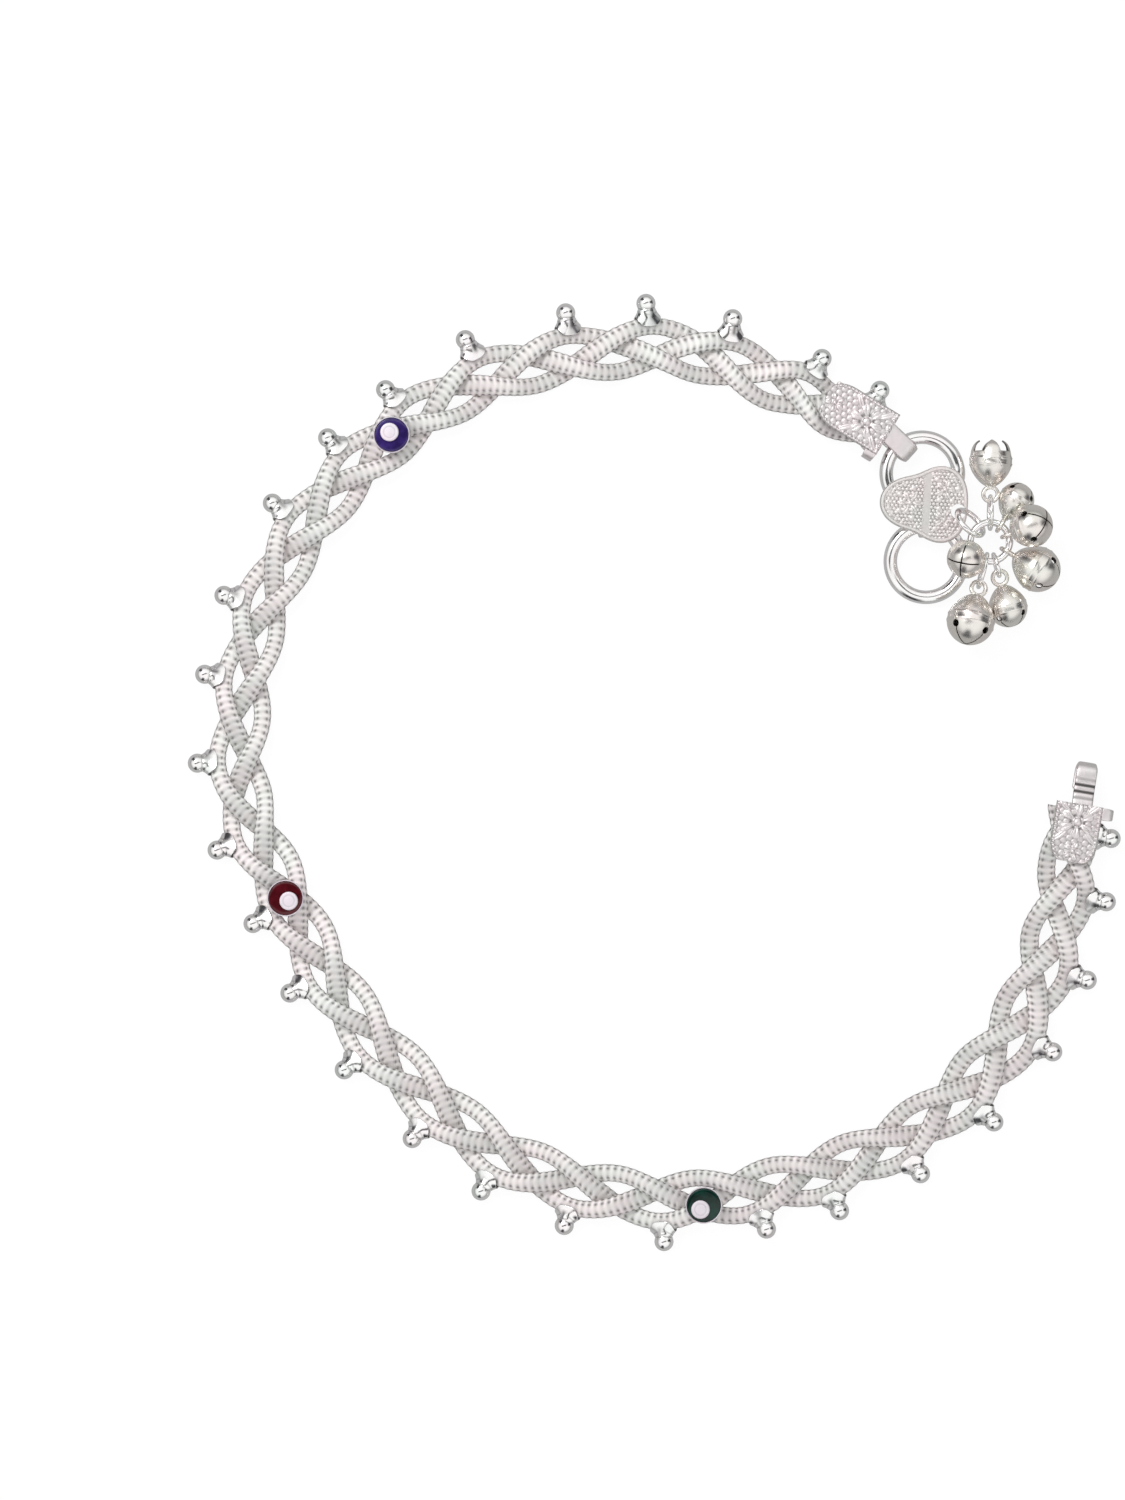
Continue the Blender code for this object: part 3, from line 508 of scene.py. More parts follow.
def rope_chain(band, number):
    """Flat bar carried along a strand, covered by two rows of small links.

    A section is a superellipse. A link's phase is the distance along the chain plus a slant away from the
    spine, over the pitch, and a dent between two links is a raised cosine of the phase to the power 1.5. The
    dents are deepest as dots in the middle of each row and at the edges, and a shallow groove parts the rows.
    A dent moves the point inwards along the section, and its depth is also painted as shade on the chain.
    """
    dense = np.linspace(HOOK_CAP_AT + STRAND_END_GAP, band.length - STRAND_END_GAP, ROUTE_SAMPLES)
    side, height, _ = band.strand(dense, number)
    _, out = band.outward(dense)
    middle = np.column_stack([band.point(dense) + out * side[:, None], height])
    chain_length = distances(middle)
    count = int(chain_length[-1] / LINK_PITCH * LINK_SAMPLES)
    at = np.linspace(0, chain_length[-1], count)
    s = np.interp(at, chain_length, dense)
    side, height, half_width = band.strand(s, number)
    _, out = band.outward(s)
    lean = np.gradient(side, at)[:, None]
    angle = turns(STRAND_SIDES, 0.5)[None, :]
    across = signed_power(np.cos(angle), SECTION_WIDE_POWER)
    upwards = signed_power(np.sin(angle), SECTION_HIGH_POWER)
    share = np.abs(across)
    wide = half_width[:, None]
    phase = (at[:, None] + wide * across * lean + LINK_SLANT * share) / LINK_PITCH
    notch = 0.5 + 0.5 * np.cos(2 * math.pi * phase)
    dots = DENT_EVERYWHERE + DENT_ROW * bump(share - DENT_ROW_AT, DENT_ROW_SPREAD)
    dots = dots + DENT_EDGE * smooth_step(share, DENT_EDGE_FROM, DENT_EDGE_TO)
    # The dents' depth, with the dots and the spine groove, also becomes painted shade through the recess
    # value
    dent = np.clip(notch ** 1.5 * dots + SPINE_GROOVE * bump(share, SPINE_SPREAD), 0, 1)
    inward = 1 - LINK_RELIEF * dent / STRAND_HALF_THICK
    lateral = wide * across * (1 - 0.35 * LINK_RELIEF * dent)
    grid = np.empty((count, STRAND_SIDES, 3))
    grid[..., :2] = (band.point(s) + out * side[:, None])[:, None, :] + out[:, None, :] * lateral[..., None]
    grid[..., 2] = height[:, None] + STRAND_HALF_THICK * upwards * inward
    return Skin().add(grid, dent)


def ball_drop(ball_out, seam):
    """Ball on a neck that flares into a tongue above and below the strand, along +Y; its edge is at y = 0.

    Rows run from the ball's pole down the outside to the rim and back up inside. A section is a superellipse
    that turns from round at the neck to square at the rim. The neck's half width falls from the ball's and
    grows with the 1.6th power of the way down. The rim lies beyond the strand's edge at both sides and dips
    to the tongues' tips with the 1.4th power of the sine. Shade is painted as a dark streak down the neck's
    middle, as strong as the seam value, as dark lines round the neck, and inside the tongues.
    """
    angle = turns(64)[None, :]
    cosine, sine = np.cos(angle), np.sin(angle)
    ball = np.radians(np.linspace(4, NECK_AT, 18))[:, None]
    neck_y = ball_out + BALL_RADIUS * math.cos(math.radians(NECK_AT))
    neck = BALL_RADIUS * math.sin(math.radians(NECK_AT))
    fall = np.linspace(0.04, 1, 30)[:, None]
    power = 1 - 0.45 * smooth_step(fall, 0.3, 1.0)
    collar = -0.06 * bump(fall - 0.12, 0.07)
    wide = neck + collar + (LEAF_HALF_WIDTH - neck) * fall ** 1.6
    high = neck + collar + (LEAF_HALF_HEIGHT - neck) * smooth_step(fall, 0, 0.6)
    rim = NOTCH_AT + (LEAF_TIP - NOTCH_AT) * np.abs(sine) ** 1.4
    back = np.linspace(0, 1, 8)[:, None]
    inner_wide = (wide[-1] - LEAF_THICK) * (1 - 0.97 * smooth_step(back, 0.5, 1.0))
    inner_high = (high[-1] - LEAF_THICK) * (1 - 0.97 * smooth_step(back, 0.6, 1.0))
    # Painted shade: dark lines round the neck, a dark streak down its middle as strong as the seam value, and
    # the tongues' insides
    crease = sum(deep * bump(fall - at, spread) for at, spread, deep in NECK_LINES)
    middle = seam * bump(cosine * wide - STREAK_SHADE_ASIDE, STREAK_SHADE_SPREAD) * smooth_step(fall, 0.0, 0.2)
    middle = middle * (1 - smooth_step(fall, 0.5, 0.8))
    round_wide = BALL_RADIUS * np.sin(ball)
    rows = (
        (ball_out + BALL_RADIUS * np.cos(ball), round_wide, round_wide, 1.0, 0.0),
        (neck_y + (rim - neck_y) * fall, wide, high, power, np.maximum(crease, middle)),
        (rim + (NOTCH_AT + 0.06 - rim) * back, inner_wide, inner_high, power[-1], 0.8),
    )
    parts = []
    depths = []
    for y, w, h, p, depth in rows:
        x = w * signed_power(cosine, p)
        z = h * signed_power(sine, p)
        y = np.broadcast_to(y, x.shape)
        parts.append(np.stack([x, y, z], -1))
        depths.append(np.broadcast_to(depth, y.shape))
    return Skin().add(np.vstack(parts), np.clip(np.vstack(depths), 0, 1))


def build_drops(band, silver):
    """Each drop stands square to the outer edge of its strand, so that its ball lies at its own place."""
    for number, place in enumerate(BALL_PLACES):
        ball_out = FAR_BALL_OUT if number in FAR_BALLS else BALL_OUT
        strand = number % STRANDS
        s = np.array(place + ball_out * band.edge_slope(place, strand)[0])
        side, height, half_width = band.strand(s, strand)
        outwards, upwards = band.edge_slope(s, strand)
        along, out = band.outward(s)
        origin = [*(band.point(s) + out * (side + half_width)), float(height)]
        # The second value is the strength of the painted shade streak down this drop's neck
        drop = ball_drop(ball_out, 0.7 + 0.3 * math.sin(2.3 * number))
        drop.place(origin, [*(along + out * outwards), upwards], [*out, 0.0])
        drop.piece(f"ball_and_skirt_{number + 1:02d}", silver, "drop_silver", [f"ball_drop_{number + 1:02d}"])


def torus(radius, wire, steps=128, sides=24, seam=0.0):
    """Round wire bent into a ring in x-y; the wire swells a little at its soldered seam, at +X."""
    around = turns(steps)[:, None]
    section = turns(sides)[None, :]
    swell = wire * (1 + seam * np.exp(-(np.angle(np.exp(1j * around)) * radius / wire) ** 2))
    reach = radius + swell * np.cos(section)
    return np.stack([reach * np.cos(around), reach * np.sin(around), swell * np.sin(section)], -1)


def strap(path, width, thick, sides=24, grooves=()):
    """Rounded flat bar carried along a line in x-z, a little narrower towards its fold at the largest x.

    A section is a superellipse. A groove is its share of the length and its depth from 0 to 1, which is also
    returned as painted shade.
    """
    path = np.asarray(path, float)
    length = distances(path)
    share = np.linspace(0, 1, 140)
    line = natural_spline(length, path, share * length[-1])
    along = np.gradient(line, axis=0)
    along /= np.linalg.norm(along, axis=1)[:, None]
    across = np.stack([-along[:, 1], along[:, 0]], 1)
    section = turns(sides, 0.5)
    flat = signed_power(np.cos(section), STRAP_EDGE_POWER) * width / 2
    bulge = signed_power(np.sin(section), STRAP_FACE_POWER) * thick / 2
    cut = 0 * share
    for at, deep in grooves:
        cut = cut + deep * np.exp(-((share - at) * length[-1] / GROOVE_HALF_LENGTH) ** 4)
    taper = smooth_step(np.minimum(share, 1 - share) * length[-1], -0.25, 0.25)
    fold = np.clip((line[:, :1] - line[:, 0].max()) / FOLD_REACH + 1, 0, 1)
    grid = np.empty((len(share), sides, 3))
    thickness = bulge[None, :] * (1 - GROOVE_THINNING * cut[:, None]) * taper[:, None]
    grid[..., 0] = line[:, None, 0] + across[:, None, 0] * thickness
    grid[..., 1] = flat[None, :] * (0.85 + 0.15 * taper[:, None]) * (1 - FOLD_NARROWING * fold ** 2)
    grid[..., 2] = line[:, None, 1] + across[:, None, 1] * thickness
    # The grooves' depth goes out as the recess value, for painted shade
    return grid, cut[:, None]


def half_turn(x, z, radius):
    """Half circle in the x-z plane, from above its middle round to below it."""
    angle = np.linspace(math.pi / 2, -math.pi / 2, 9)
    return list(zip(x + radius * np.cos(angle), z + radius * np.sin(angle)))


def dome(*shares):
    """Height of a half ball over shares of its radius along each axis, and 0 outside it."""
    return np.sqrt(np.clip(1 - sum(share ** 2 for share in shares), 0, 1))


def flower(x, y, radius, petals, turn=0.0):
    """Height from 0 to 1: a domed eye with a moat, and petals with a vein each."""
    distance = np.hypot(x, y) / radius
    angle = np.arctan2(y, x) + turn
    eye = dome(distance / 0.26)
    lobe = 0.5 + 0.5 * np.cos(petals * angle)
    tip = 0.55 + 0.45 * np.sqrt(lobe)
    petal = dome((distance - 0.34 * (1 + tip)) / (0.36 * tip)) * smooth_step(lobe, 0.05, 0.5)
    vein = 0.35 * bump(np.sin(petals * angle / 2), 0.12)
    return np.maximum(eye, petal * (0.85 - vein))


def beads(distance, along, pitch, radius):
    """Height of a row of round beads: distance from the row's line, and place along it."""
    near = ((along / pitch) % 1 - 0.5) * pitch
    return dome(near / radius, distance / radius)


def seeds(x, y, pitch):
    """Height of a field of domed seeds: round tops on the two sets of points of a hexagonal net."""
    tall = pitch * math.sqrt(3)
    height = 0 * (x + y)
    for shift in (0.0, 0.5):
        near_x = ((x / pitch + shift) % 1 - 0.5) * pitch
        near_y = ((y / tall + shift) % 1 - 0.5) * tall
        height = np.maximum(height, dome(2 * near_x / pitch, 2 * near_y / pitch))
    return height


def cap_plate(length, shift):
    """Stamped plate: a grid of heights over a flat underside, straight and then rounding to a nose.

    The relief is the highest of two flowers, four leaves, a beaded border and a field of seeds. Shade is
    painted where it is low, as dark pits between the large flower's petals, and on the flat underside.
    """
    share = np.linspace(0, 1, 150)[:, None]
    x = -length * (1 - share)
    into_nose = np.clip((-x - (length - CAP_NOSE_LENGTH)) / CAP_NOSE_LENGTH, 0, 1)
    half = CAP_NOSE_HALF_WIDTH + (CAP_HALF_WIDTH - CAP_NOSE_HALF_WIDTH) * np.sqrt(1 - into_nose ** 2)
    across = np.linspace(-1, 1, 90)[None, :]
    y = half * across
    x = np.broadcast_to(x, y.shape)
    middle = -(length - CAP_NOSE_LENGTH) / 2
    relief = np.maximum(0.3 * seeds(x, y, CAP_SEED_PITCH), flower(x - middle, y, *CAP_FLOWER))
    relief = np.maximum(relief, 0.9 * flower(x + length - NOSE_FLOWER_AT, y, *NOSE_FLOWER))
    leaf_x = np.abs(x - middle) - CAP_LEAF_AT
    leaf_y = np.abs(y) - CAP_LEAF_AT
    over = (leaf_x - leaf_y) / math.sqrt(2)
    leaf = dome((leaf_x + leaf_y) / math.sqrt(2) / CAP_LEAF_HALF_LENGTH, over / CAP_LEAF_HALF_WIDTH)
    relief = np.maximum(relief, 0.85 * leaf * (1 - 0.4 * bump(over, 0.07)))
    edge = half - np.abs(y)
    for inset, along in ((edge, x), (-x, y)):
        border = beads(inset - CAP_BEAD_INSET, along, CAP_BEAD_PITCH, CAP_BEAD_RADIUS)
        relief = np.maximum(relief, 0.75 * border)
    rim = 0.06 * smooth_step(edge, 0.0, 0.1)
    height = CAP_UNDER_Z + CAP_THICK - 0.08 + rim + CAP_RELIEF * relief * smooth_step(edge, 0, 0.12)
    top = np.stack([x, y + shift, height], -1)
    bottom = top[:, ::-1].copy()
    bottom[..., 2] = CAP_UNDER_Z
    grid = np.concatenate([top, bottom], axis=1)
    # Painted shade: dark where the relief is low, dark pits between the large flower's petals, and the
    # underside
    between = 0.5 - 0.5 * np.cos(CAP_FLOWER[1] * np.arctan2(y, x - middle))
    pits = bump(np.hypot(x - middle, y) - PIT_AT, PIT_SPREAD) * between ** 2
    depth = np.maximum(0.5 * np.clip(1 - 3.2 * relief, 0, 1), 0.85 * pits)
    depth = np.concatenate([depth, np.full(relief.shape, 0.4)], axis=1)
    return grid, depth


def cap_body(skin, length, shift):
    """Adds the cap's plate, its end wall and floor, one folded strip, and its side flange at -Y."""
    skin.add(*cap_plate(length, shift))
    mid = CAP_WALL / 2
    corner = [(-mid - 0.3 + 0.3 * math.cos(a), mid + 0.3 - 0.3 * math.sin(a))
              for a in np.radians((0, 30, 60, 90))]
    path = [(-mid, CAP_UNDER_Z + 0.1), (-mid, 2.2), (-mid, 1.2), *corner, (-2.0, mid), (-length / 2, mid),
            (CAP_WALL - length, mid)]
    skin.add(*strap(path, 2 * CAP_FLOOR_HALF_WIDTH, CAP_WALL))
    wall = FLANGE_OUT - 0.15
    path = [(CAP_HALF_WIDTH - 0.35, CAP_UNDER_Z + 0.2), (CAP_HALF_WIDTH + 0.2, CAP_UNDER_Z + 0.17),
            (wall - 0.15, CAP_UNDER_Z - 0.1), (wall, CAP_UNDER_Z - 0.6), (wall, 2.0), (wall, 1.0)]
    grid, depth = strap(path, FLANGE_LENGTH, 0.3)
    flange = np.stack([grid[..., 1] - FLANGE_LENGTH / 2 - 0.05, -grid[..., 0], grid[..., 2]], -1)
    skin.add(flange, depth)
    return skin


def hook_cap(band):
    skin = cap_body(Skin(), HOOK_CAP_LENGTH, CAP_SHIFT)
    radius = (HOOK_TOP_Z - HOOK_LOW_Z) / 2
    bend = HOOK_LENGTH - radius - HOOK_THICK / 2
    path = [(-0.6, CAP_UNDER_Z + 0.2), (0.3, CAP_UNDER_Z + 0.1), (1.2, HOOK_TOP_Z + 0.1), (2.0, HOOK_TOP_Z)]
    path += half_turn(bend, (HOOK_TOP_Z + HOOK_LOW_Z) / 2, radius)
    path.append((HOOK_LEG_START, HOOK_LOW_Z))
    skin.add(*strap(path, STRAP_WIDTH, HOOK_THICK, grooves=HOOK_GROOVES))
    along, out = band.outward(np.array(HOOK_CAP_AT))
    return skin.place([*band.point(HOOK_CAP_AT), 0], [*-along, 0], [*-out, 0])


def ring_cap(band):
    skin = cap_body(Skin(), RING_CAP_LENGTH, -CAP_SHIFT)
    radius = RING_Z - LOOP_LOW_Z
    path = [(-0.6, CAP_UNDER_Z + 0.2), (0.3, CAP_UNDER_Z + 0.05)]
    path += half_turn(LOOP_TIP - radius - LOOP_THICK / 2, RING_Z, radius)
    path += [(0.4, LOOP_LOW_Z), (-0.25, LOOP_LOW_Z)]
    grid, depth = strap(path, STRAP_WIDTH, LOOP_THICK)
    turn = math.radians(LOOP_TURN)
    x = grid[..., 0] * math.cos(turn) - grid[..., 1] * math.sin(turn)
    y = grid[..., 0] * math.sin(turn) + grid[..., 1] * math.cos(turn)
    skin.add(np.stack([x, y, grid[..., 2]], -1), depth)
    along, out = band.outward(np.array(band.length - 0.3))
    return skin.place([*band.point(band.length), 0], [*along, 0], [*out, 0])


def heart_radius(angle):
    """Outline through five named distances, as a sum of cosines of the angle."""
    orders = np.arange(len(HEART_OUTLINE))
    known = np.radians(45.0 * orders)
    weights = np.linalg.solve(np.cos(np.outer(known, orders)), HEART_OUTLINE)
    return np.cos(angle[..., None] * orders) @ weights


def heart_hole():
    reach, turn = HEART_HOLE_AT
    return on_table(HEART_MIDDLE) + reach * flat_direction(HEART_TURN + turn)[:2]


def heart_plate():
    """Plate in polar rows, over the top, down the side and back under it.

    The relief is the highest of a raised rim, a beaded line inside it, three flowers, small buds and a field
    of seeds, with a plain band left between the two sides.
    """
    angle = turns(300)[None, :]
    outline = heart_radius(angle)
    share = np.linspace(0.006, 0.975, 110)[:, None]
    radius = outline * share
    x, y = radius * np.cos(angle), radius * np.sin(angle)
    from_edge = outline - radius
    rim = 0.9 * (1 - smooth_step(from_edge, 0.42, 0.62))
    relief = np.maximum(rim, 0.55 * beads(from_edge - 0.95, angle * outline, 0.42, 0.17))
    for fx, fy, size, petals in HEART_FLOWERS:
        relief = np.maximum(relief, flower(x - fx, y - fy, size, petals))
    for bx, by in HEART_BUDS:
        relief = np.maximum(relief, 0.8 * dome(np.hypot(x - bx, np.abs(y) - by) / HEART_BUD_RADIUS))
    relief = np.maximum(relief, 0.5 * seeds(x, y, HEART_SEED_PITCH))
    relief = np.where(np.abs(x - HEART_BAND_AT) < HEART_BAND_HALF_WIDTH, np.maximum(rim, 0.3), relief)
    height = HEART_UNDER_Z + HEART_THICK + HEART_RELIEF * relief * smooth_step(from_edge, 0, 0.2)
    top = np.stack([x, y, height], -1)
    # Painted shade where the relief is low
    depth = np.clip(0.9 - 2.0 * relief, 0, 1)
    round_off = np.radians(np.linspace(80, -90, 8))[:, None]
    half = HEART_THICK / 2 + 0.06
    side_radius = outline * (0.975 + 0.025 * np.cos(round_off))
    z = HEART_UNDER_Z + half + half * np.sin(round_off)
    side = np.stack([side_radius * np.cos(angle), side_radius * np.sin(angle),
                     np.broadcast_to(z, side_radius.shape)], -1)
    inward = np.linspace(0.8, 0.01, 10)[:, None] * outline
    below = np.stack([inward * np.cos(angle), inward * np.sin(angle),
                      np.full(inward.shape, HEART_UNDER_Z)], -1)
    # Painted shade under the plate, none on its side
    depth = np.vstack([depth, np.zeros(side.shape[:2]), np.full(below.shape[:2], 0.3)])
    skin = Skin().add(np.vstack([top, side, below]), depth)
    axis = flat_direction(HEART_TURN)
    return skin.place([*on_table(HEART_MIDDLE), 0], axis, [-axis[1], axis[0], 0])


def bore(piece, cutter):
    """Cuts a closed surface out of a piece, whose own parts may overlap."""
    tool = cutter.piece("cutter", piece.data.materials[0], "cap_silver")
    modifier = piece.modifiers.new("bore", "BOOLEAN")
    modifier.operation = "DIFFERENCE"
    modifier.use_self = True
    modifier.object = tool
    bpy.context.view_layer.update()
    graph = bpy.context.evaluated_depsgraph_get()
    mesh = bpy.data.meshes.new_from_object(piece.evaluated_get(graph))
    piece.modifiers.clear()
    piece.data = mesh
    bpy.data.objects.remove(tool, do_unlink=True)
    mesh.set_sharp_from_angle(angle=math.radians(50))


def cut_eyelet(plate):
    """Bores the link's hole through the plate with a round cutter."""
    reach = np.linspace(-1, 1, 3)[:, None]
    hole = heart_hole()
    around = turns(40)[None, :]
    middle_z = HEART_UNDER_Z + HEART_THICK / 2
    x = hole[0] + HEART_HOLE_RADIUS * np.cos(around) + 0 * reach
    y = hole[1] + HEART_HOLE_RADIUS * np.sin(around) + 0 * reach
    cutter = Skin().add(np.stack([x, y, middle_z + 1.2 * reach + 0 * around], -1))
    bore(plate, cutter)


def heart_bail():
    """Strap under the plate, round both rings' neighbouring wires."""
    straight = BAIL_HALF_SPAN - BAIL_CORNER
    top = HEART_UNDER_Z + 0.2
    right = [(BAIL_HALF_SPAN, top), (BAIL_HALF_SPAN, 2.0), (BAIL_HALF_SPAN, 1.3)]
    right += [(straight + BAIL_CORNER * math.sin(a), BAIL_LOW_Z + BAIL_CORNER * (1 - math.cos(a)))
              for a in np.radians((90, 60, 30, 0))]
    path = right + [(-x, z) for x, z in reversed(right)]
    upper, lower = on_table(UPPER_RING), on_table(LOWER_RING)
    away = np.array([*(lower - upper), 0.0])
    grid, depth = strap(path, BAIL_WIDTH, BAIL_THICK)
    return Skin().add(grid, depth).place([*(upper + lower) / 2, 0], away, [-away[1], away[0], 0])


def tilted_ring(skin_grid, middle, normal):
    """A ring from x-y, placed about a normal."""
    normal = np.asarray(normal, float)
    side = np.array([0.0, 0.0, 1.0]) if abs(normal[2]) < 0.9 else np.array([0.0, 1.0, 0.0])
    x_axis = np.cross(side, normal)
    return Skin().add(skin_grid, ring=True).place(middle, x_axis, np.cross(normal, x_axis))


def build_rings(silver):
    """The clasp's two equal rings; the lower one leans, with its far side down."""
    radius = RING_OUTER_RADIUS - RING_WIRE_RADIUS
    upper, lower = on_table(UPPER_RING), on_table(LOWER_RING)
    away = (lower - upper) / np.linalg.norm(lower - upper)
    for name, place, degrees in (("upper", upper, 0.0), ("lower", lower, LOWER_RING_TILT)):
        tilt = math.radians(degrees)
        normal = (math.sin(tilt) * away[0], math.sin(tilt) * away[1], math.cos(tilt))
        ring = tilted_ring(torus(radius, RING_WIRE_RADIUS, 160, 32, 0.06),
                           (*place, RING_Z - radius * math.sin(tilt)), normal)
        ring.piece(f"clasp_ring_{name}", silver, "silver", [f"ring_{name}"])


def bell(radius, slit, flare):
    """Hollow bell along +X from the middle of its loop.

    Rows run from the neck's pole over the outside to the rim and back inside. The radius is a sphere's,
    drawn out towards the neck and ringed by two raised lines. The mouth is a star of slits of even width:
    the rim's angle from the mouth's pole is the slit's half width over the distance from the slit's middle,
    and never past the slits' ends. Flare opens the petals.
    """
    middle = BELL_NECK_LENGTH + radius
    sector = 2 * math.pi / BELL_PETALS
    even = turns(144)
    around = even - 0.82 / BELL_PETALS * np.sin(BELL_PETALS * even)
    from_slit = np.abs((around + sector / 2) % sector - sector / 2)
    around = around + sector / 2
    end = math.radians(BELL_SLIT_END)
    reach = slit / 2 / (radius * np.maximum(np.sin(from_slit), 1e-3))
    rim = np.minimum(np.arcsin(np.clip(reach, 0, math.sin(end))), end)[None, :]
    around = around[None, :]

    def shell(polar, wall):
        """Polar is the angle from the mouth's pole."""
        from_neck = math.pi - polar
        drawn = 0.2 * np.clip(np.cos(from_neck), 0, 1) ** 6
        lines = 0.03 * (bump(polar - 1.72, 0.04) + bump(polar - 1.42, 0.04))
        opened = flare * smooth_step(math.pi / 2 - polar, 0.2, 1.2)
        reach = radius * (1 + drawn + lines + opened) - wall
        sideways = reach * np.sin(polar) * (1 + 1.2 * opened)
        x = middle + reach * np.cos(polar)
        return np.stack([x, sideways * np.cos(around), sideways * np.sin(around)], -1)

    share = np.linspace(0.01, 1, 56)[:, None]
    outer = shell(math.pi + (rim - math.pi) * share, 0.0)
    back = np.linspace(0, 0.985, 26)[:, None]
    inner = shell(rim + (math.pi - rim) * back, BELL_WALL * 0.55)
    inner[..., 0] = np.maximum(inner[..., 0], BELL_NECK_LENGTH + 0.2)
    # Painted shade: darker just at the mouth's rim, and all over the inside
    lip = 0.5 * np.exp(-(1 - share) / 0.03) * np.ones_like(rim)
    skin = Skin().add(np.vstack([outer, inner]), np.vstack([lip, np.ones(inner.shape[:2])]))
    skin.add(torus(BELL_LOOP_RADIUS, LINK_WIRE, 48, 16), ring=True)
    x = np.linspace(BELL_LOOP_RADIUS - 0.05, BELL_NECK_LENGTH + 0.35, 26)[:, None]
    collar = 0.2 * bump(x - BELL_LOOP_RADIUS - 0.32, 0.1)
    collar = collar + 0.55 * smooth_step(x, BELL_NECK_LENGTH - 0.2, BELL_NECK_LENGTH + 0.4)
    neck = 0.42 + collar
    turn = turns(32)[None, :]
    # Painted shade line round the neck near the loop
    skin.add(np.stack([x + 0 * turn, neck * np.cos(turn), neck * np.sin(turn)], -1),
             0.6 * bump(x - BELL_LOOP_RADIUS - 0.12, 0.05) * np.ones_like(turn))
    return skin


def slit_end(radius, turn):
    """Cutter across the bell for two opposite drop-shaped holes at the slits' upper ends.

    A hole's radius is a share of the bell's, times one plus half the cosine towards the neck.
    """
    around = turns(32)[None, :]
    reach = np.linspace(-1.5, 1.5, 3)[:, None] * radius
    size = BELL_HOLE_SHARE * radius * (1 - 0.5 * np.cos(around))
    end = math.radians(BELL_SLIT_END)
    x = BELL_NECK_LENGTH + radius * (1 + math.cos(end)) + size * np.cos(around) + 0 * reach
    aside = size * np.sin(around) + 0 * reach
    turn = math.radians(turn)
    y = reach * math.cos(turn) - aside * math.sin(turn) + 0 * around
    z = reach * math.sin(turn) + aside * math.cos(turn) + 0 * around
    return Skin().add(np.stack([x, y, z], -1))


def build_bunch(silver, bell_silver):
    """The link on the heart, the flat bunch ring, and each bell, with its own link where it has one.

    Bells with closed petals have a hole at each slit's end.
    """
    hole = heart_hole()
    forward = flat_direction(BUNCH_TURN)
    reach = 2 * HEART_LINK_RADIUS - HEART_LINK_WIRE - BUNCH_WIRE - 0.2 + BUNCH_RADIUS
    middle = hole + reach * forward[:2]
    lean = math.radians(HEART_LINK_LEAN)
    aside = np.array([-forward[1], forward[0], 0.0])
    normal = math.cos(lean) * aside + math.sin(lean) * np.array([0, 0, 1.0])
    plate_z = HEART_UNDER_Z + HEART_THICK / 2
    link = tilted_ring(torus(HEART_LINK_RADIUS, HEART_LINK_WIRE, 96, 20, 0.1),
                       np.array([*hole, plate_z]) + forward * HEART_LINK_RADIUS, normal)
    link.piece("heart_link", silver, "silver", ["link_heart"])
    ring = tilted_ring(torus(BUNCH_RADIUS, BUNCH_WIRE, 96, 20, 0.12), (*middle, BUNCH_Z), (0, 0, 1))
    ring.piece("bunch_ring", silver, "silver", ["ring_bunch"])
    for name, turn, rise, radius, link_radius, slit, flare in BELLS:
        out = flat_direction(turn)
        level = math.radians(rise)
        axis = math.cos(level) * out + np.array([0, 0, math.sin(level)])
        across = np.array([-out[1], out[0], 0.0])
        wire = np.array([*middle, BUNCH_Z]) + BUNCH_RADIUS * out
        if link_radius:
            place = wire + axis * (link_radius - LINK_WIRE - BUNCH_WIRE - 0.1)
            link = tilted_ring(torus(link_radius, LINK_WIRE, 80, 16, 0.1), place, across)
            link.piece(f"bell_link_{name[-1]}", silver, "silver", [f"link_{name}"])
            loop = place + axis * (link_radius - 2 * LINK_WIRE - 0.1 + BELL_LOOP_RADIUS)
            normal = np.cross(axis, across)
        else:
            loop = wire + axis * 0.1
            normal = across
        y_axis = np.cross(normal, axis)
        skin = bell(radius, slit, flare).place(loop, axis, y_axis)
        made = skin.piece(f"jingle_{name}", bell_silver, "bell_silver", [name])
        if not flare:
            for turn in (45, 135):
                bore(made, slit_end(radius, turn).place(loop, axis, y_axis))


def turned(profile, count=96):
    """Surface of revolution about z through rows of radius and height."""
    profile = np.asarray(profile, float)
    around = turns(count)[None, :]
    radius, height = profile[:, :1], profile[:, 1:]
    return np.stack([radius * np.cos(around), radius * np.sin(around), height + 0 * around], -1)


def build_studs(band, silver, enamels):
    """Bezel cup turned with a rolled rim, the enamel dome in it, and the pin's flat head off its middle."""
    for name, s, outward, (dx, dy) in STUDS:
        _, out = band.outward(np.array(s))
        place = [*(band.point(s) + out * outward), STUD_BASE_Z]
        cup = Skin().add(turned(even_profile(BEZEL)))
        head = even_profile(PIN_HEAD)
        # Painted shade in the groove round the pin head
        depth = 0.3 * bump(head[:, :1] - PIN_GROOVE_AT, 0.07)
        pin = turned(head)
        pin[..., 0] += dx
        pin[..., 1] += dy
        pin[..., 2] += PIN_HEAD_LOW
        cup.add(pin, depth * np.ones((1, pin.shape[1])))
        cup.place(place, (1, 0, 0), (0, 1, 0))
        cup.piece(f"bezel_{name}", silver, "silver", [f"stud_{name}"])
        fill = Skin().add(turned(even_profile(ENAMEL_FILL))).place(place, (1, 0, 0), (0, 1, 0))
        fill.piece(f"enamel_dome_{name}", enamels[name], f"enamel_{name}", [f"enamel_{name}"])


def even_profile(rows, samples=48):
    """Even samples along the straight pieces between the rows."""
    rows = np.asarray(rows, float)
    length = distances(rows)
    at = np.linspace(0, length[-1], samples)
    return np.column_stack([np.interp(at, length, rows[:, k]) for k in (0, 1)])


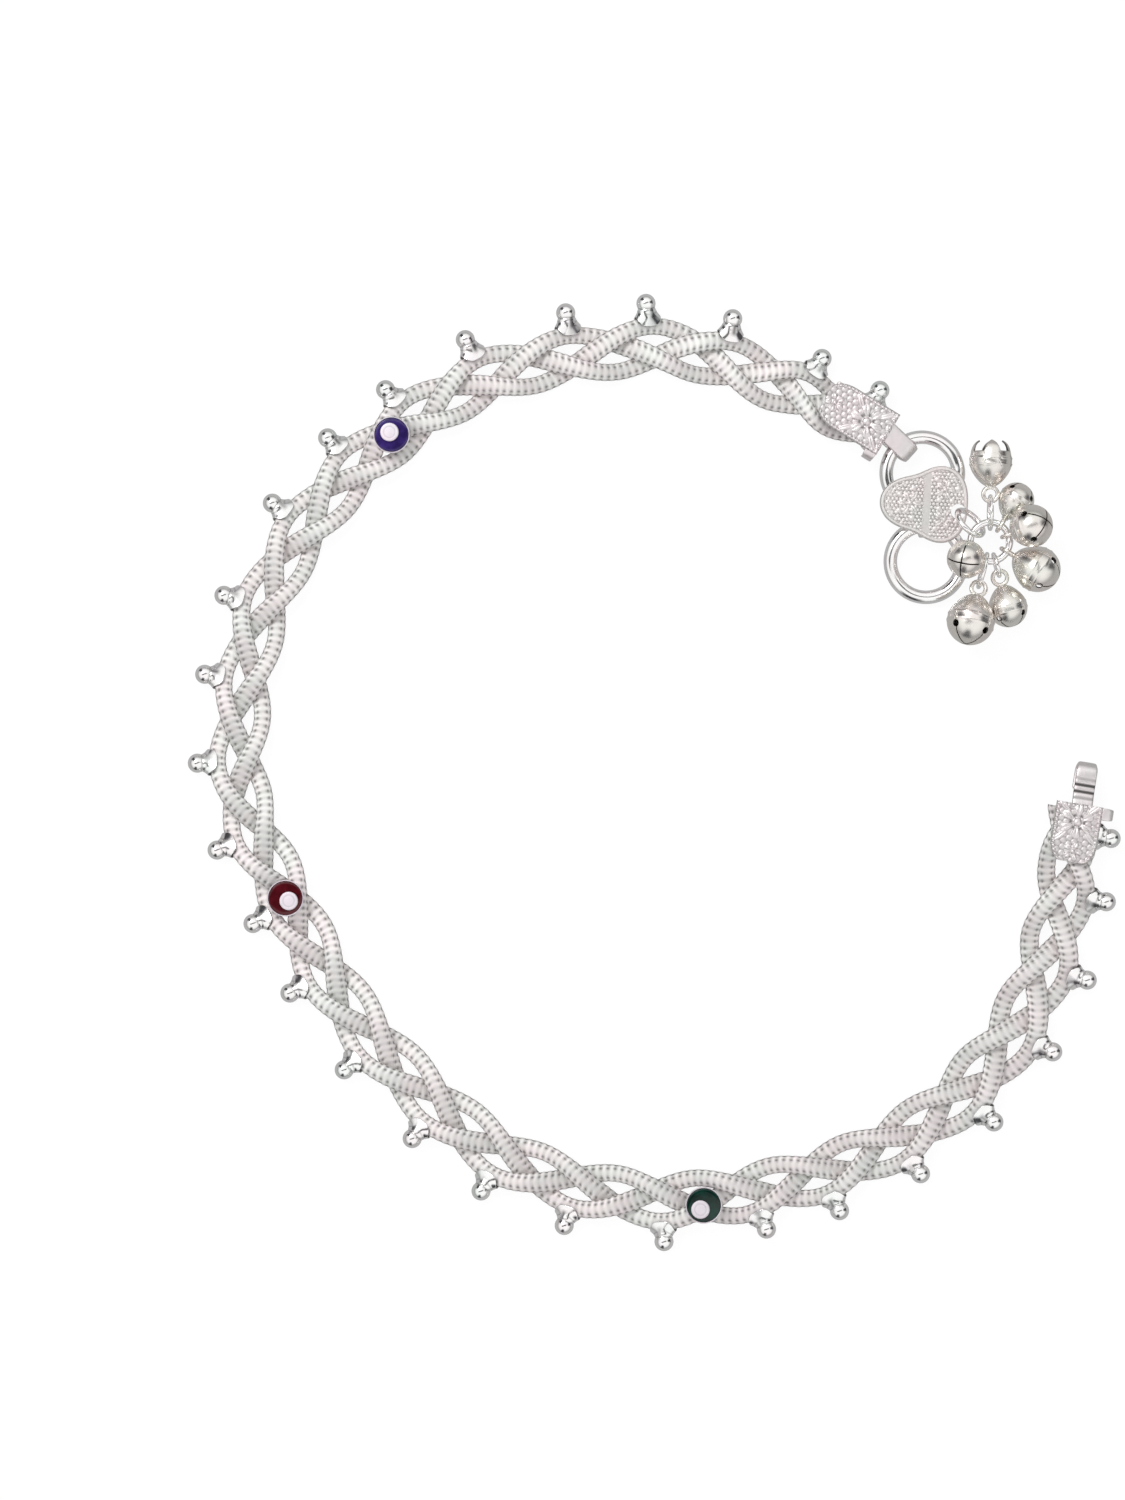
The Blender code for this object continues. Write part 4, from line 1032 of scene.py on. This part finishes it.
def wear_and_shade_group():
    """Shared effect of handled silver: painted shade in recesses, cloudy tone and tint, and fine scratches.
    """
    group = bpy.data.node_groups.new("silver wear and painted shade", "ShaderNodeTree")
    face = group.interface
    for name in ("Clean", "Dark"):
        face.new_socket(name=name, in_out="INPUT", socket_type="NodeSocketColor")
    for name in ("Recess", "Recess Dark", "Gloss Rough", "Cloud Scale", "Scratch Scale"):
        face.new_socket(name=name, in_out="INPUT", socket_type="NodeSocketFloat")
    face.new_socket(name="Color", in_out="OUTPUT", socket_type="NodeSocketColor")
    for name in ("Roughness", "Height"):
        face.new_socket(name=name, in_out="OUTPUT", socket_type="NodeSocketFloat")
    make = Nodes(group)
    given = make.add("NodeGroupInput")
    place = make.add("ShaderNodeTexCoord").outputs["Object"]
    cloud = make.noise(place, given.outputs["Cloud Scale"], 3.0)
    stretch = make.add("ShaderNodeMapping", Vector=place, Scale=(1.0, 0.12, 1.0), Rotation=(0.0, 0.0, 0.6))
    scratch = make.noise(stretch.outputs[0], given.outputs["Scratch Scale"], 2.0)
    tone = make.math("MULTIPLY_ADD", cloud, 0.16, 0.92)
    tint = make.between(make.noise(place, 220.0, 2.0), 0.35, 0.65)
    tinted = make.mix_colour(tint, WARM_TINT, COOL_TINT)
    tinted = make.add("ShaderNodeVectorMath", operation="MULTIPLY", _0=given.outputs["Clean"], _1=tinted)
    cleaned = make.add("ShaderNodeVectorMath", operation="SCALE", _0=tinted.outputs[0], Scale=tone)
    # Painted shade: the recess value times its share mixes the colour towards the dark one
    painted_shade = make.math("MULTIPLY", given.outputs["Recess"], given.outputs["Recess Dark"])
    mixed = make.mix_colour(painted_shade, cleaned.outputs[0], given.outputs["Dark"])
    rough = make.math("MULTIPLY_ADD", scratch, 0.12, given.outputs["Gloss Rough"])
    rough = make.math("MULTIPLY_ADD", given.outputs["Recess"], 0.2, rough)
    height = make.math("MULTIPLY_ADD", cloud, 0.6, scratch)
    make.add("NodeGroupOutput", Color=mixed, Roughness=rough, Height=height)
    return group


class Nodes:
    """Short way to add nodes and join their sockets by name; _0 and _1 are the first two sockets."""

    def __init__(self, tree):
        self.tree = tree

    def add(self, kind, **given):
        made = self.tree.nodes.new(kind)
        for key, value in given.items():
            if key.startswith("_"):
                self.join(made.inputs[int(key[1:])], value)
            elif key.replace("_", " ") in made.inputs:
                self.join(made.inputs[key.replace("_", " ")], value)
            else:
                setattr(made, key, value)
        return made

    def join(self, socket, value):
        if isinstance(value, bpy.types.NodeSocket):
            self.tree.links.new(value, socket)
        else:
            socket.default_value = value

    def noise(self, place, scale, detail):
        return self.add("ShaderNodeTexNoise", Vector=place, Scale=scale, Detail=detail).outputs["Fac"]

    def between(self, value, low, high):
        """0 up to low, 1 from high on, and even between them."""
        return self.add("ShaderNodeMapRange", Value=value, From_Min=low, From_Max=high).outputs[0]

    def math(self, operation, *values):
        made = self.tree.nodes.new("ShaderNodeMath")
        made.operation = operation
        for socket, value in zip(made.inputs, values):
            self.join(socket, value)
        return made.outputs[0]

    def mix_colour(self, factor, first, second):
        made = self.tree.nodes.new("ShaderNodeMix")
        made.data_type = "RGBA"
        self.join(made.inputs["Factor"], factor)
        self.join(made.inputs[6], first)
        self.join(made.inputs[7], second)
        return made.outputs[2]


def new_material(name):
    material = bpy.data.materials.new(name)
    material.use_nodes = True
    return material, Nodes(material.node_tree), material.node_tree.nodes["Principled BSDF"]


def silver_material(name, group, clean, dark, recess_dark, rough, cloud, scratch, grain):
    """Silver with shade painted into its recesses, from the mesh's own attribute."""
    material, make, shader = new_material(name)
    recess = make.add("ShaderNodeAttribute", attribute_name="recess").outputs["Fac"]
    wear_and_shade = make.add("ShaderNodeGroup", node_tree=group)
    make.join(wear_and_shade.inputs["Recess"], recess)
    for key, value in (("Clean", (*clean, 1)), ("Dark", (*dark, 1)), ("Recess Dark", recess_dark),
                       ("Gloss Rough", rough), ("Cloud Scale", cloud), ("Scratch Scale", scratch)):
        wear_and_shade.inputs[key].default_value = value
    raised = make.add("ShaderNodeBump", Strength=grain, Distance=0.00004, Height=wear_and_shade.outputs["Height"])
    make.join(shader.inputs["Base Color"], wear_and_shade.outputs["Color"])
    make.join(shader.inputs["Roughness"], wear_and_shade.outputs["Roughness"])
    make.join(shader.inputs["Normal"], raised.outputs[0])
    shader.inputs["Metallic"].default_value = 1.0
    return material


def enamel_material(name, deep, bright):
    """Glossy glass enamel: a cloudy mix of two tones under a clear coat."""
    material, make, shader = new_material(name)
    place = make.add("ShaderNodeTexCoord").outputs["Object"]
    cloud = make.noise(place, 900.0, 3.0)
    colour = make.mix_colour(make.between(cloud, 0.35, 0.7), (*deep, 1), (*bright, 1))
    make.join(shader.inputs["Base Color"], colour)
    rough = make.math("MULTIPLY_ADD", cloud, 0.08, 0.05)
    make.join(shader.inputs["Roughness"], rough)
    raised = make.add("ShaderNodeBump", Strength=0.15, Distance=0.00004, Height=cloud)
    make.join(shader.inputs["Normal"], raised.outputs[0])
    shader.inputs["Specular IOR Level"].default_value = 0.3
    shader.inputs["Coat Weight"].default_value = 0.3
    shader.inputs["Coat Roughness"].default_value = 0.04
    return material


def build_world():
    """White studio: bright overhead, greyer at the sides with dark gaps between the soft boxes."""
    world = bpy.data.worlds.new("studio")
    bpy.context.scene.world = world
    world.use_nodes = True
    make = Nodes(world.node_tree)
    background = world.node_tree.nodes["Background"]
    direction = make.add("ShaderNodeTexCoord").outputs["Generated"]
    parts = make.add("ShaderNodeSeparateXYZ", Vector=direction)
    height = make.add("ShaderNodeValToRGB", Fac=parts.outputs["Z"])
    ramp = height.color_ramp
    ramp.elements[0].position, ramp.elements[1].position = SKY[0][0], SKY[-1][0]
    for position, _ in SKY[1:-1]:
        ramp.elements.new(position)
    for element, (_, value) in zip(ramp.elements, SKY):
        element.color = (value, value, value, 1)
    angle = make.math("ARCTAN2", parts.outputs["Y"], parts.outputs["X"])
    wave = make.math("SINE", make.math("MULTIPLY_ADD", angle, SOFT_BOXES, SOFT_BOX_TURN))
    gap = make.between(wave, *GAP_WAVE)
    dark = make.math("MULTIPLY", gap, make.between(parts.outputs["Z"], *GAP_HEIGHT))
    colour = make.mix_colour(dark, height.outputs[0], BETWEEN_BOXES)
    cosine, sine, _ = map(float, flat_direction(ARM_TURN))
    east, north = parts.outputs["X"], parts.outputs["Y"]
    forward = make.math("MULTIPLY_ADD", north, sine, make.math("MULTIPLY", east, cosine))
    aside = make.math("MULTIPLY_ADD", north, cosine, make.math("MULTIPLY", east, -sine))
    aside = make.math("ABSOLUTE", make.math("SUBTRACT", aside, ARM_ASIDE))
    narrow = make.between(aside, ARM_HALF_WIDTH + ARM_SIDE_BLUR, ARM_HALF_WIDTH - ARM_SIDE_BLUR)
    ahead = make.math("ABSOLUTE", forward)
    short = make.between(ahead, ARM_REACH + ARM_TIP_BLUR, ARM_REACH - ARM_TIP_BLUR)
    above = make.math("GREATER_THAN", parts.outputs["Z"], 0.0)
    arm = make.math("MULTIPLY", make.math("MULTIPLY", narrow, short), above)
    colour = make.mix_colour(arm, colour, ARM_TONE)
    seen = make.add("ShaderNodeLightPath").outputs["Is Camera Ray"]
    make.join(background.inputs["Color"], make.mix_colour(seen, colour, (1.0, 1.0, 1.0, 1)))
    background.inputs["Strength"].default_value = 1.0


def build_floor():
    """White table top with a faint paper grain."""
    half = 2.0
    mesh = bpy.data.meshes.new("table_top")
    corners = [(-half, -half, 0), (half, -half, 0), (half, half, 0), (-half, half, 0)]
    mesh.from_pydata(corners, [], [(0, 1, 2, 3)])
    floor = add_object("table_top", mesh)
    floor.location.z = CAD_LOW.z
    material, make, shader = new_material("white board")
    place = make.add("ShaderNodeTexCoord").outputs["Object"]
    tone = make.mix_colour(make.noise(place, 400.0, 4.0), (0.1, 0.1, 0.1, 1), (0.12, 0.12, 0.12, 1))
    make.join(shader.inputs["Base Color"], tone)
    shader.inputs["Roughness"].default_value = 0.9
    shader.inputs["Specular IOR Level"].default_value = 0.0
    shader.inputs["Emission Color"].default_value = (1, 1, 1, 1)
    shader.inputs["Emission Strength"].default_value = FLOOR_GLOW
    reflected = make.add("ShaderNodeEmission", Color=(FLOOR_REFLECTED,) * 3 + (1,))
    seen = make.add("ShaderNodeLightPath").outputs["Is Glossy Ray"]
    mixed = make.add("ShaderNodeMixShader", _0=seen, _1=shader.outputs[0], _2=reflected.outputs[0])
    make.join(material.node_tree.nodes["Material Output"].inputs["Surface"], mixed.outputs[0])
    mesh.materials.append(material)


def build_light():
    """One soft box that faces the middle of the table."""
    data = bpy.data.lights.new("soft_box", "AREA")
    data.shape = "RECTANGLE"
    data.size, data.size_y = SOFT_BOX_SIZE
    data.energy = SOFT_BOX_POWER
    light = add_object("soft_box", data)
    light.location = SOFT_BOX_PLACE
    light.rotation_euler = (-Vector(SOFT_BOX_PLACE)).to_track_quat("-Z", "Y").to_euler()


def build_camera():
    """Straight above, so that the photo's frame covers its own width and height on the table."""
    lens, sensor, level = 120.0, 36.0, 0.0015
    height = PHOTO_HEIGHT_PX * MM_PER_PX * MM
    data = bpy.data.cameras.new("camera")
    data.lens = lens
    data.sensor_width = sensor
    camera = add_object("camera", data)
    x = (PHOTO_WIDTH_PX / 2 - ORIGIN_PX[0]) * MM_PER_PX * MM
    y = (ORIGIN_PX[1] - PHOTO_HEIGHT_PX / 2) * MM_PER_PX * MM
    camera.location = (x, y, level + height * lens / sensor)
    bpy.context.scene.camera = camera


def main():
    bpy.context.scene.view_settings.view_transform = "Standard"
    build_camera()
    build_world()
    build_floor()
    build_light()
    group = wear_and_shade_group()
    silvers = {name: silver_material(f"{name} silver", group, *values) for name, values in SILVERS.items()}
    enamels = {name: enamel_material(f"{name} enamel", *tones) for name, tones in ENAMELS.items()}
    polished, stamped = silvers["polished"], silvers["stamped"]
    band = Band()
    for number in range(STRANDS):
        chain = rope_chain(band, number)
        chain.piece(f"rope_chain_{number + 1}", silvers["rope chain"], "chain_silver",
                    [f"strand_{number + 1}"])
    build_drops(band, polished)
    hook_cap(band).piece("hook_cap", stamped, "cap_silver", ["end_cap_hook"])
    ring_cap(band).piece("ring_cap", stamped, "cap_silver", ["end_cap_ring"])
    build_rings(polished)
    plate = heart_plate().piece("heart_front", silvers["pressed heart"], "cap_silver", ["heart_plate"])
    cut_eyelet(plate)
    heart_bail().piece("heart_bail", stamped, "cap_silver")
    build_bunch(polished, silvers["bell"])
    build_studs(band, silvers["satin stud"], enamels)


main()
